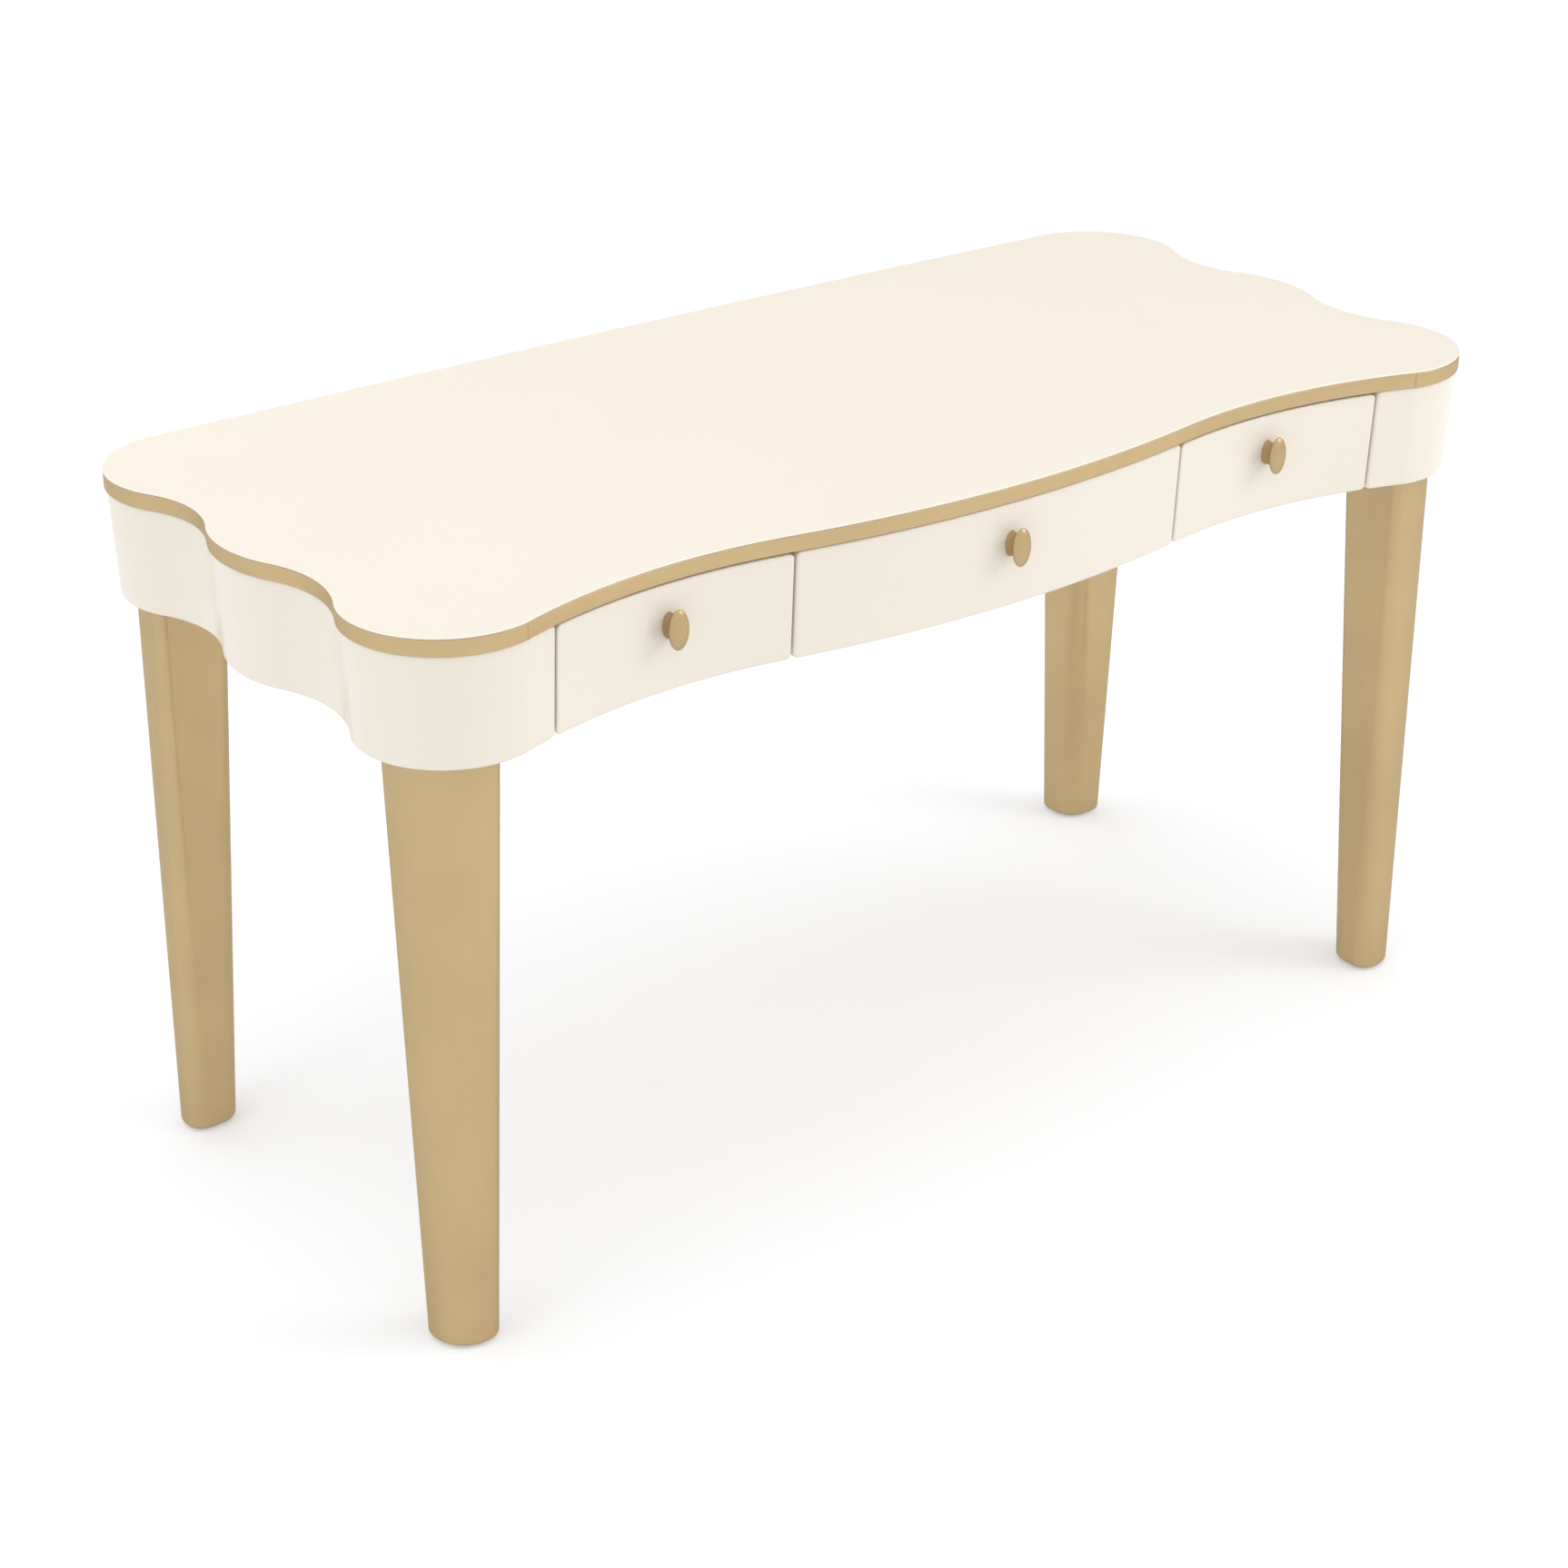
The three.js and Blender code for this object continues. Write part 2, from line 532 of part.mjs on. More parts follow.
// An oval knob turned on the lathe, narrowed sideways, with a hole for its screw.
function knobGeometry(x, seatY) {
  const rim = KNOB_HEIGHT / 2;
  const rimFront = KNOB_PROJECTION - KNOB_DOME;
  const rimBack = rimFront - KNOB_EDGE_THICKNESS;
  const neck = new THREE.QuadraticBezierCurve(
    point(KNOB_FOOT_RADIUS, 0),
    point(KNOB_NECK_RADIUS, KNOB_NECK_LENGTH / 4),
    point(KNOB_NECK_RADIUS, KNOB_NECK_LENGTH),
  ).getPoints(3);
  const flare = new THREE.QuadraticBezierCurve(
    point(KNOB_NECK_RADIUS, KNOB_NECK_LENGTH),
    point(KNOB_NECK_RADIUS + 1, rimBack - 1),
    point(rim - 0.5, rimBack),
  ).getPoints(4).slice(1);
  const edge = new THREE.QuadraticBezierCurve(
    point(rim - 0.5, rimBack),
    point(rim + 0.5, (rimBack + rimFront) / 2),
    point(rim - 1, rimFront),
  ).getPoints(3).slice(1);
  const dome = new THREE.QuadraticBezierCurve(
    point(rim - 1, rimFront),
    point(rim * 0.7, KNOB_PROJECTION),
    point(0, KNOB_PROJECTION),
  ).getPoints(6).slice(1);
  const profile = [point(0, 0), ...neck, ...flare, ...edge, ...dome];
  profile.at(-1).x = 0;
  const turned = new THREE.LatheGeometry(profile, KNOB_SIDES);
  turned.scale(KNOB_WIDTH / KNOB_HEIGHT, 1, 1).rotateX(Math.PI).translate(x, seatY, knobZ);
  const hole = rodAlongY(SCREW_RADIUS + SCREW_CLEARANCE, x,
    seatY - SCREW_BITE - SCREW_CLEARANCE, seatY + 1, knobZ, SCREW_SIDES);
  return cut(turned, hole);
}

// The y of the foremost point of a drawer front's face under a knob's foot.
function knobSeatY(x) {
  const inset = apronInset(knobZ + KNOB_FOOT_RADIUS);
  return Math.min(...[-1, 0, 1].map((side) => frontEdgeY(x + side * knobFootHalfWidth, inset)));
}

function buildDrawer(name, x0, x1, topGap) {
  const frontX0 = x0 + DRAWER_GAP / 2;
  const frontX1 = x1 - DRAWER_GAP / 2;
  const middle = (x0 + x1) / 2;
  const steps = 2 * HOLLOW_STEPS;
  const path = (inset) => frontEdge(frontX0, frontX1, inset, steps);
  const face = leaningWall(path, apronBottom, apronTop - topGap, FRONT_THICKNESS);
  const seatY = knobSeatY(middle) - FIT_GAP;
  const innerY = frontEdgeY(middle, APRON_BOTTOM_INSET + FRONT_THICKNESS);
  const screwHole = rodAlongY(SCREW_RADIUS + SCREW_CLEARANCE, middle, seatY, innerY,
    knobZ, SCREW_SIDES);
  addPart(`${name}_drawer_front`, cut(face, screwHole), IVORY);

  // The box stands between its two slides.
  const wallSpace = PANEL_THICKNESS / 2 + SLIDE_SPACE;
  const boxX0 = x0 + wallSpace;
  const boxX1 = x1 - wallSpace;
  const behindFront = (z) => apronInset(z) + FRONT_THICKNESS + FIT_GAP;
  const side = (xa, xb) => loft([boxBottom, boxTop].map((z) => {
    const ends = frontEdge(xa, xb, behindFront(z), 1);
    return { ring: [...ends, point(xb, boxBackY), point(xa, boxBackY)], z };
  }));
  addPart(`${name}_drawer_left_side`, side(boxX0, boxX0 + BOX_WALL), BARE_WOOD);
  addPart(`${name}_drawer_right_side`, side(boxX1 - BOX_WALL, boxX1), BARE_WOOD);
  const inX0 = boxX0 + BOX_WALL + FIT_GAP;
  const inX1 = boxX1 - BOX_WALL - FIT_GAP;
  const bottomZ = boxBottom + BOTTOM_RAISE;
  const bottomTop = bottomZ + BOTTOM_THICKNESS;
  const bottomRing = [
    ...frontEdge(inX0, inX1, behindFront(boxBottom), BOTTOM_STEPS),
    point(inX1, boxBackY),
    point(inX0, boxBackY),
  ];
  addPart(`${name}_drawer_bottom`,
    loft([bottomZ, bottomTop].map((z) => ({ ring: bottomRing, z }))), BARE_WOOD);
  addPart(`${name}_drawer_back`, boxBetween(
    [inX0, boxBackY - BOX_WALL, bottomTop + FIT_GAP],
    [inX1, boxBackY, boxTop],
  ), BARE_WOOD);

  addPart(`${name}_drawer_knob`, knobGeometry(middle, seatY), GILT);
  const headY = innerY + FIT_GAP;
  addPart(`${name}_knob_screw`, join(
    rodAlongY(SCREW_RADIUS, middle, seatY - SCREW_BITE, headY + SCREW_HEAD_DEPTH / 2,
      knobZ, SCREW_SIDES),
    rodAlongY(SCREW_HEAD_RADIUS, middle, headY, headY + SCREW_HEAD_DEPTH, knobZ, SCREW_SIDES),
  ), ZINC);

  // Each slide is a channel on the frame, with a smaller one on the drawer facing into it.
  const fixed = channel(SLIDE_HEIGHT);
  const moving = channel(SLIDE_HEIGHT - 2 * (SLIDE_WALL + BALL_ROOM));
  const panelFaces = [x0 + PANEL_THICKNESS / 2 + FIT_GAP, x1 - PANEL_THICKNESS / 2 - FIT_GAP];
  const boxFaces = [boxX0 - FIT_GAP, boxX1 + FIT_GAP];
  const place = (geometry, x) => geometry.translate(x, slideFrontY, slideZ);
  addPart(`${name}_drawer_left_slide_rail`, place(fixed.clone(), panelFaces[0]), ZINC);
  addPart(`${name}_drawer_right_slide_rail`, place(flipped(fixed), panelFaces[1]), ZINC);
  addPart(`${name}_drawer_left_runner`, place(flipped(moving), boxFaces[0]), ZINC);
  addPart(`${name}_drawer_right_runner`, place(moving.clone(), boxFaces[1]), ZINC);
}

buildTop();
buildApron();
buildFrame();
buildLegs();
buildDrawer("left", -stileX, -splitX, SIDE_TOP_GAP);
buildDrawer("middle", -splitX, splitX, MIDDLE_TOP_GAP);
buildDrawer("right", splitX, stileX, SIDE_TOP_GAP);

// The middle knob reaches furthest forward, so the middle of the whole box lies in front of the top's.
const knobTipY = knobSeatY(0) - FIT_GAP - KNOB_PROJECTION;
table.position.y = -(knobTipY + backY) / 2;

export default table;
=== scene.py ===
"""A writing and vanity table with a scalloped ivory top, gilt legs and three curved drawers."""

import math
from collections import namedtuple

import bmesh
import bpy
from bpy.props import FloatProperty, FloatVectorProperty, IntProperty, PointerProperty
from mathutils import Matrix, Vector


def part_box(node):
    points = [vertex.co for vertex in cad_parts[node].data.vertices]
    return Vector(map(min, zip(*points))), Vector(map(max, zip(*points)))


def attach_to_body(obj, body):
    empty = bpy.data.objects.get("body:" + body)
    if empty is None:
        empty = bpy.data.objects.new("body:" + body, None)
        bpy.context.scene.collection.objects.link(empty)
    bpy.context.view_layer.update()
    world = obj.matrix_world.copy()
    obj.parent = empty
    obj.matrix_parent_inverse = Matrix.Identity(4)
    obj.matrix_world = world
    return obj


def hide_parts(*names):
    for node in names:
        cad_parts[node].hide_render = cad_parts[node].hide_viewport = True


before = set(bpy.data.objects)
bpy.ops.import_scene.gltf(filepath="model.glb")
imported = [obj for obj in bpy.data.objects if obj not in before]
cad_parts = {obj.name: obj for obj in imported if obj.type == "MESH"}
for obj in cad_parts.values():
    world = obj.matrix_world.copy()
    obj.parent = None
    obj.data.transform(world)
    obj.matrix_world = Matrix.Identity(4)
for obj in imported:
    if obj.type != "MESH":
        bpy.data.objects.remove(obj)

bl_info = {
    "name": "Scalloped Vanity Table",
    "version": (1, 0, 0),
    "blender": (4, 5, 0),
    "location": "3D View > Sidebar > Vanity Table",
    "description": "Builds the finished pieces of a scalloped vanity table around its frame",
    "category": "Add Mesh",
}

QUARTER = math.pi / 2
SHARP_ANGLE = math.radians(32)  # the crease beside each front lobe is sharper than this
MERGE_DISTANCE = 1e-6
FLAT_ANGLE = math.radians(0.5)
SUPPORT = 0.002  # of a flat face's border strip, which keeps its shading flat
CORNER_STEPS = 6  # round a wall's corner
EDGE_STEPS = 5  # over a rounded edge
DRAWERS = ("left", "middle", "right")
SIDES = ("left", "right")
ROWS = ("front", "back")
FRAME_BODY = "table_frame"
FIT_GAP = 0.0003  # between pieces that meet
LIP_SETBACK = 0.0002  # of the top's lower lip edge
POST_OVERLAP = 0.002  # of a leg's post inside the leg


# ---------- Settings ----------
def length(name, description, default):
    return FloatProperty(
        name=name, description=description, default=default, unit="LENGTH", precision=4
    )


def colour(name, description, default):
    return FloatVectorProperty(
        name=name, description=description, default=default, subtype="COLOR", size=3, min=0, max=1
    )


def factor(name, description, default):
    return FloatProperty(
        name=name, description=description, default=default, subtype="FACTOR", min=0, max=1
    )


class OutlineSettings(bpy.types.PropertyGroup):
    """The scalloped outline of the top, seen from above."""

    corner_radius: length("Corner lobe", "Radius of the four corner lobes", 0.099)
    back_bow: length("Back bow", "How far the middle of the back edge stands out", 0.008)
    end_hollow_depth: length("End hollow", "Depth of the two hollows in each end", 0.027)
    end_hollow_shift: length("End hollow shift", "Shift of each end hollow to its corner", 0.004)
    end_lobe_radius: length("End lobe", "Radius of the lobe between an end's hollows", 0.135)
    crease_from_corner: length("Crease", "From a front lobe's centre to its crease", 0.0265)
    front_hollow_rise: length("Front hollow", "From the bulge's nose back to the hollows", 0.036)
    bulge_setback: length("Bulge setback", "Bulge's nose behind the front lobes", 0.0035)
    hollow_from_stile: length(
        "Hollow from stile", "From a side drawer's outer end to the hollow's deepest point", 0.1615
    )


class WallSettings(bpy.types.PropertyGroup):
    """The curved walls under the top: aprons, drawer fronts and the gilt band."""

    top_inset: length("Inset at the top", "Walls' face behind the top's edge, at the top", 0.0025)
    bottom_inset: length("Inset at the bottom", "Walls' face behind the edge, at the bottom", 0.008)
    thickness: length("Thickness", "Of the aprons and the drawer fronts", 0.018)
    gap: length("Drawer gap", "Between two drawer fronts", 0.0026)
    edge_radius: length("Edge rounding", "Of the walls' edges", 0.0024)
    corner_radius: length("Corner rounding", "Of a drawer front's four corners", 0.0055)
    band_thickness: length("Band thickness", "Of the gilt band under the top's lip", 0.005)
    band_edge: length("Band rounding", "Of the gilt band's outer edges", 0.0006)
    lip_radius: length("Lip rounding", "Of the top's upper edge", 0.0012)


class LegSettings(bpy.types.PropertyGroup):
    """A tapered leg: square, with one large rounded outer corner."""

    top_side: length("Side at the top", "Of the section under the apron", 0.085)
    foot_side: length("Side at the foot", "Of the section at the foot", 0.061)
    top_outer: length("Outer corner, top", "Radius of the outer corner under the apron", 0.058)
    foot_outer: length("Outer corner, foot", "Radius of the outer corner at the foot", 0.038)
    top_inner: length("Inner corner, top", "Radius of the inner corner under the apron", 0.014)
    foot_inner: length("Inner corner, foot", "Radius of the inner corner at the foot", 0.029)
    top_sideways: length("Side corners, top", "Radius of the other two, under the apron", 0.012)
    foot_sideways: length("Side corners, foot", "Radius of the other two, at the foot", 0.020)
    taper: length("Outer taper", "How far the outer faces lean in down the leg", 0.004)
    foot_rounding: length("Foot rounding", "Of the foot's lower edge", 0.005)
    shoulder_gap: length("Shoulder gap", "Between the leg's shoulder and the apron", 0.0003)


class KnobSettings(bpy.types.PropertyGroup):
    """An oval knob, turned round and then narrowed sideways."""

    foot_radius: length("Foot", "Upright radius of the foot", 0.0135)
    neck_radius: length("Neck", "Upright radius of the neck", 0.0125)
    neck_length: length("Neck length", "From the face to where the head flares out", 0.006)
    edge: length("Rim", "Thickness of the head's rim", 0.0025)
    dome: length("Dome", "Height of the head's domed face", 0.0035)
    rooted: length("Rooted", "Depth of the foot inside the drawer front", 0.0015)


class HardwareSettings(bpy.types.PropertyGroup):
    """Screws, cam locks and ball slides."""

    screw_radius: length("Screw head", "Radius of a screw's head", 0.0032)
    screw_dome: length("Screw dome", "Height of a screw's head", 0.0013)
    cam_radius: length("Cam lock", "Radius of a cam lock's face", 0.0075)
    cam_proud: length("Cam proud", "How far a cam lock stands out", 0.0005)
    ball_radius: length("Ball", "Radius of a slide's ball", 0.0022)
    ball_spacing: length("Ball spacing", "Between two balls in a race", 0.011)
    slide_wall: length("Slide wall", "Thickness of a slide's steel", 0.0012)
    seed: IntProperty(name="Seed", description="For how far each screw is turned", default=7)


class FinishSettings(bpy.types.PropertyGroup):
    """Colours and gloss of the finishes, in linear light."""

    ivory: colour("Ivory", "Lacquer of the top, aprons and drawer fronts", (0.727, 0.674, 0.583))
    gilt: colour("Gilt", "Champagne gold of the legs and the band", (0.525, 0.388, 0.207))
    gilt_edge: colour("Gilt edge", "Tint of the gold seen edge on", (0.70, 0.66, 0.60))
    knob_gold: colour("Knob gold", "Champagne gold of the knobs", (0.50, 0.36, 0.19))
    drawer_wood: colour("Drawer wood", "Clear birch of the drawer boxes", (0.66, 0.50, 0.33))
    frame_wood: colour("Frame wood", "Bare wood of the inner frame", (0.60, 0.44, 0.27))
    zinc: colour("Zinc", "Plated steel of slides and screws", (0.62, 0.63, 0.65))
    nylon: colour("Nylon", "Glides under the feet", (0.72, 0.71, 0.67))
    lacquer_roughness: factor("Lacquer roughness", "Of the ivory lacquer", 0.34)
    gilt_roughness: factor("Gilt roughness", "Of the champagne gold", 0.36)


class StageSettings(bpy.types.PropertyGroup):
    """Camera, floor and lights."""

    camera_place: FloatVectorProperty(
        name="Camera place", description="Where the camera stands", subtype="TRANSLATION",
        unit="LENGTH", default=(-2.042, -2.5699, 1.880), size=3,
    )
    azimuth: FloatProperty(
        name="Azimuth", description="Camera's direction round the table, 0 from the front",
        subtype="ANGLE", default=math.radians(-37.894),
    )
    elevation: FloatProperty(
        name="Elevation", description="Camera's height above the horizon, as an angle",
        subtype="ANGLE", default=math.radians(25.457),
    )
    roll: FloatProperty(
        name="Roll", description="Camera's turn about its own axis",
        subtype="ANGLE", default=math.radians(0.209),
    )
    lens: FloatProperty(name="Lens", description="Focal length in millimetres", default=75.46)
    floor_size: length("Floor", "Width of the floor", 60.0)
    floor_colour: colour("Floor colour", "Plain pale floor", (0.64, 0.655, 0.675))
    floor_glow: FloatProperty(
        name="Floor glow", description="Light of the floor itself", default=0.30
    )
    sky: FloatProperty(name="Sky", description="Strength of the even light", default=1.12)
    flag: factor("Flag", "Brightness of the dark flag to the right", 0.35)
    key: FloatProperty(name="Key light", description="In watts", subtype="POWER", default=34.0)
    fill: FloatProperty(name="Fill light", description="In watts", subtype="POWER", default=8.0)
    overhead: FloatProperty(name="Overhead", description="In watts", subtype="POWER", default=20.0)


SETTINGS = {
    "vanity_outline": OutlineSettings,
    "vanity_walls": WallSettings,
    "vanity_legs": LegSettings,
    "vanity_knobs": KnobSettings,
    "vanity_hardware": HardwareSettings,
    "vanity_finish": FinishSettings,
    "vanity_stage": StageSettings,
}


# ---------- CAD boxes ----------
known_boxes = {}


def box(node):
    """The low and high corners of a CAD node's box, looked up once."""
    if node not in known_boxes:
        known_boxes[node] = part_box(node)
    return known_boxes[node]


# ---------- Curves ----------
def spread(start, end, steps):
    """Evenly spaced values from start to end, both included."""
    return [start + (end - start) * i / steps for i in range(steps + 1)]


def arc(x, y, radius, start, end, steps):
    """Points on an arc between two angles."""
    return [(x + radius * math.cos(a), y + radius * math.sin(a)) for a in spread(start, end, steps)]


def bezier(start, control, end, steps):
    """Points on a quadratic curve."""

    def blended(a, b, c, t):
        return (1 - t) ** 2 * a + 2 * t * (1 - t) * b + t ** 2 * c

    axes = list(zip(start, control, end))
    return [tuple(blended(*axis, t) for axis in axes) for t in spread(0, 1, steps)]


def between(edge, inset, start, end, steps):
    """Points of an edge at even steps of x, without its two ends."""
    return [edge(x, inset) for x in spread(start, end, steps)][1:-1]


def arc_span(run, rise):
    """Radius of an arc that rises by rise over a run from its extreme point."""
    return (run ** 2 + rise ** 2) / (2 * rise)


class Outline:
    """The edge of the top as tangent arcs, at any distance (inset) behind it."""

    CORNER_STEPS = 48
    WAVE_STEPS = 16
    FRONT_STEPS = 120
    BACK_STEPS = 40

    def __init__(self):
        s = bpy.context.scene.vanity_outline
        low, high = box("top_panel")
        half_depth = (high.y - low.y) / 2
        self.middle_y = (low.y + high.y) / 2
        self.corner_radius = s.corner_radius
        self.corner_x = high.x - s.corner_radius
        self.front_corner_y = s.corner_radius - half_depth
        self.back_corner_y = half_depth - s.back_bow - s.corner_radius
        self.end_depth = s.end_hollow_depth
        self.end_shift = s.end_hollow_shift
        self.end_lobe = s.end_lobe_radius
        bulge_y = s.bulge_setback - half_depth
        crease_x = self.corner_x - s.crease_from_corner
        crease_y = self.front_corner_y - math.sqrt(s.corner_radius ** 2 - s.crease_from_corner ** 2)
        stile_x = box("right_drawer_front")[1].x + bpy.context.scene.vanity_walls.gap / 2
        self.hollow_x = stile_x - s.hollow_from_stile
        hollow_y = bulge_y + s.front_hollow_rise
        self.hollow_radius = arc_span(crease_x - self.hollow_x, hollow_y - crease_y)
        self.hollow_y = hollow_y - self.hollow_radius
        self.bulge_radius = arc_span(self.hollow_x, s.front_hollow_rise) - self.hollow_radius
        self.bulge_y = bulge_y + self.bulge_radius
        self.back_radius = arc_span(self.corner_x, s.back_bow)
        self.back_y = half_depth - self.back_radius

    def front(self, x, inset):
        """The point of the front edge at x."""
        reach = abs(x)
        both = self.bulge_radius + self.hollow_radius
        joint = self.hollow_x * (self.bulge_radius - inset) / both
        if reach <= joint:
            y = self.bulge_y - math.sqrt((self.bulge_radius - inset) ** 2 - reach ** 2)
        else:
            y = self.hollow_y + math.sqrt(
                (self.hollow_radius + inset) ** 2 - (reach - self.hollow_x) ** 2
            )
        return x, y + self.middle_y

    def back(self, x, inset):
        """The point of the back edge at x."""
        return x, self.back_y + math.sqrt((self.back_radius - inset) ** 2 - x ** 2) + self.middle_y

    def crease_angle(self, inset):
        """The angle on a front corner lobe at which the front hollow's arc meets it."""
        lobe = self.corner_radius - inset
        across_x = self.hollow_x - self.corner_x
        across_y = self.hollow_y - self.front_corner_y
        distance = math.hypot(across_x, across_y)
        hollow = self.hollow_radius + inset
        cosine = (lobe ** 2 + distance ** 2 - hollow ** 2) / (2 * lobe * distance)
        return math.atan2(across_y, across_x) + math.acos(cosine)

    def half_end(self, run):
        """The hollow between a corner lobe, run away from the middle, and the middle lobe."""
        from_middle = run / 2 + self.end_shift
        from_corner = run - from_middle
        corner_sum = arc_span(from_corner, self.end_depth)
        middle_sum = arc_span(from_middle, self.end_depth)
        return (
            from_middle,
            corner_sum - self.corner_radius,
            middle_sum - self.end_lobe,
            math.asin(from_corner / corner_sum),
            math.asin(from_middle / middle_sum),
        )

    def right_end(self, inset):
        """From the crease round the front lobe, the end's waves and the back lobe."""
        floor_x = self.corner_x + self.corner_radius - self.end_depth
        lobe = self.corner_radius - inset
        front_y, front_corner, front_middle, front_turn, front_wave = self.half_end(
            -self.front_corner_y
        )
        back_y, back_corner, back_middle, back_turn, back_wave = self.half_end(self.back_corner_y)
        lobe_x = floor_x + self.end_depth - self.end_lobe

        def corner(y, start, end):
            return arc(self.corner_x, y, lobe, start, end, self.CORNER_STEPS)

        def hollow(y, radius, start, end):
            start, end = math.pi + start, math.pi + end
            return arc(floor_x + radius, y, radius + inset, start, end, self.WAVE_STEPS)[1:]

        def middle(start, end):
            return arc(lobe_x, 0, self.end_lobe - inset, start, end, 2 * self.WAVE_STEPS)[1:]

        points = [
            *corner(self.front_corner_y, self.crease_angle(inset), front_turn),
            *hollow(-front_y, front_corner, front_turn, 0),
            *hollow(-front_y, front_middle, 0, -front_wave),
            *middle(-front_wave, back_wave),
            *hollow(back_y, back_middle, back_wave, 0),
            *hollow(back_y, back_corner, 0, -back_turn),
            *corner(self.back_corner_y, -back_turn, QUARTER)[1:],
        ]
        return [(x, y + self.middle_y) for x, y in points]

    def whole(self, inset):
        """The whole outline, counter-clockwise from above."""
        end = self.right_end(inset)
        edge_x = end[0][0]
        front = between(self.front, inset, -edge_x, edge_x, self.FRONT_STEPS)
        back = between(self.back, inset, self.corner_x, -self.corner_x, self.BACK_STEPS)
        return [*front, *end, *back, *mirrored(end)]


def mirrored(points):
    return [(-x, y) for x, y in reversed(points)]


# ---------- Meshes ----------
def new_piece(name, vertices, faces, material):
    """A smooth, closed piece with its faces turned outwards."""
    mesh = bpy.data.meshes.new(name)
    mesh.from_pydata(vertices, [], faces)
    return finish_piece(name, mesh, material)


def finish_piece(name, mesh, material):
    bm = bmesh.new()
    bm.from_mesh(mesh)
    bmesh.ops.remove_doubles(bm, verts=bm.verts, dist=MERGE_DISTANCE)
    bmesh.ops.recalc_face_normals(bm, faces=bm.faces)
    bm.to_mesh(mesh)
    bm.free()
    mesh.polygons.foreach_set("use_smooth", [True] * len(mesh.polygons))
    mesh.set_sharp_from_angle(angle=SHARP_ANGLE)
    mesh.materials.clear()
    mesh.materials.append(material)
    piece = bpy.data.objects.new(name, mesh)
    bpy.context.scene.collection.objects.link(piece)
    return piece


def attach(piece, body, slot, *nodes):
    """The piece moves with its body and stands for its CAD nodes. The slot is not used."""
    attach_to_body(piece, body)
    if nodes:
        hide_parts(*nodes)


def bridge(faces, count, rows):
    """Quads between closed rows of count points each."""
    for row in range(rows - 1):
        for i in range(count):
            a = row * count + i
            b = row * count + (i + 1) % count
            faces.append((a, b, b + count, a + count))


def loft(name, levels, material):
    """A closed solid through (ring, z) levels of the same number of points, lowest first."""
    count = len(levels[0][0])
    vertices = [(x, y, z) for ring, z in levels for x, y in ring]
    faces = [tuple(reversed(range(count)))]
    bridge(faces, count, len(levels))
    faces.append(tuple(range((len(levels) - 1) * count, len(levels) * count)))
    return new_piece(name, vertices, faces, material)


def sweep(name, path, profile, material):
    """A closed solid whose (inset, z) profile runs along path(inset)."""
    rows = [[(x, y, z) for x, y in path(inset)] for inset, z in profile]
    count = len(rows[0])
    vertices = [p for row in rows for p in row]
    faces = []
    for i in range(len(rows)):
        following = (i + 1) % len(rows)
        for k in range(count - 1):
            a, b = i * count + k, following * count + k
            faces.append((a, a + 1, b + 1, b))
    faces.append(tuple(i * count for i in range(len(rows))))
    faces.append(tuple(i * count + count - 1 for i in reversed(range(len(rows)))))
    return new_piece(name, vertices, faces, material)


# A stretch of wall in plan: its two ends, which are rounded, and what lies between them.
Walk = namedtuple("Walk", "start between end")


def lean(z):
    """How far the walls' face stands behind the top's edge at a height."""
    s = bpy.context.scene.vanity_walls
    bottom = box("right_apron")[0].z
    top = box("top_panel")[0].z
    share = (top - z) / (top - bottom)
    return s.top_inset + (s.bottom_inset - s.top_inset) * share


def rounded_wall(name, walk, z_low, z_high, material):
    """A leaning wall along a walk, with rounded corners and edges."""
    s = bpy.context.scene.vanity_walls
    edge, corner, thickness = s.edge_radius, s.corner_radius, s.thickness
    angles = spread(0, QUARTER, CORNER_STEPS)

    def chain(z_edge, inward, border, depth):
        """One long side of a loop, border in from the wall's outline and depth behind its face."""
        reach = corner - border

        def rounded(end, angle):
            z = z_edge + inward * (corner - reach * math.sin(angle))
            return (*end(corner - reach * math.cos(angle), lean(z) + depth), z)

        z = z_edge + inward * border
        middle = [(x, y, z) for x, y in walk.between(lean(z) + depth)]
        first = [rounded(walk.start, a) for a in angles]
        last = [rounded(walk.end, a) for a in reversed(angles)]
        return [*first, *middle, *last]

    rings = [(edge + SUPPORT, 0)]
    rings += [
        (edge * (1 - math.sin(a)), edge * (1 - math.cos(a)))
        for a in spread(0, QUARTER, EDGE_STEPS)
    ]
    rings += [(b, thickness - d) for b, d in reversed(rings)]
    vertices = []
    for border, depth in rings:
        low = chain(z_low, 1, border, depth)
        high = chain(z_high, -1, border, depth)
        vertices += [*low, *reversed(high)]
    half = len(low)
    count = 2 * half
    faces = []
    bridge(faces, count, len(rings))
    for base in (0, (len(rings) - 1) * count):
        for i in range(half - 1):
            faces.append((base + i, base + i + 1, base + count - 2 - i, base + count - 1 - i))
    return new_piece(name, vertices, faces, material)


def turned(name, profile, material, steps):
    """A round piece about Z from (radius, z) points that start and end on the axis."""
    inner = profile[1:-1]
    vertices = [(0, 0, profile[0][1])]
    for radius, z in inner:
        vertices += [(x, y, z) for x, y in arc(0, 0, radius, 0, 2 * math.pi, steps)[:-1]]
    vertices.append((0, 0, profile[-1][1]))
    faces = []
    top = len(vertices) - 1
    for i in range(steps):
        following = (i + 1) % steps
        faces.append((0, 1 + following, 1 + i))
        for row in range(len(inner) - 1):
            a, b = 1 + row * steps + i, 1 + row * steps + following
            faces.append((a, b, b + steps, a + steps))
        last = 1 + (len(inner) - 1) * steps
        faces.append((last + i, last + following, top))
    return new_piece(name, vertices, faces, material)


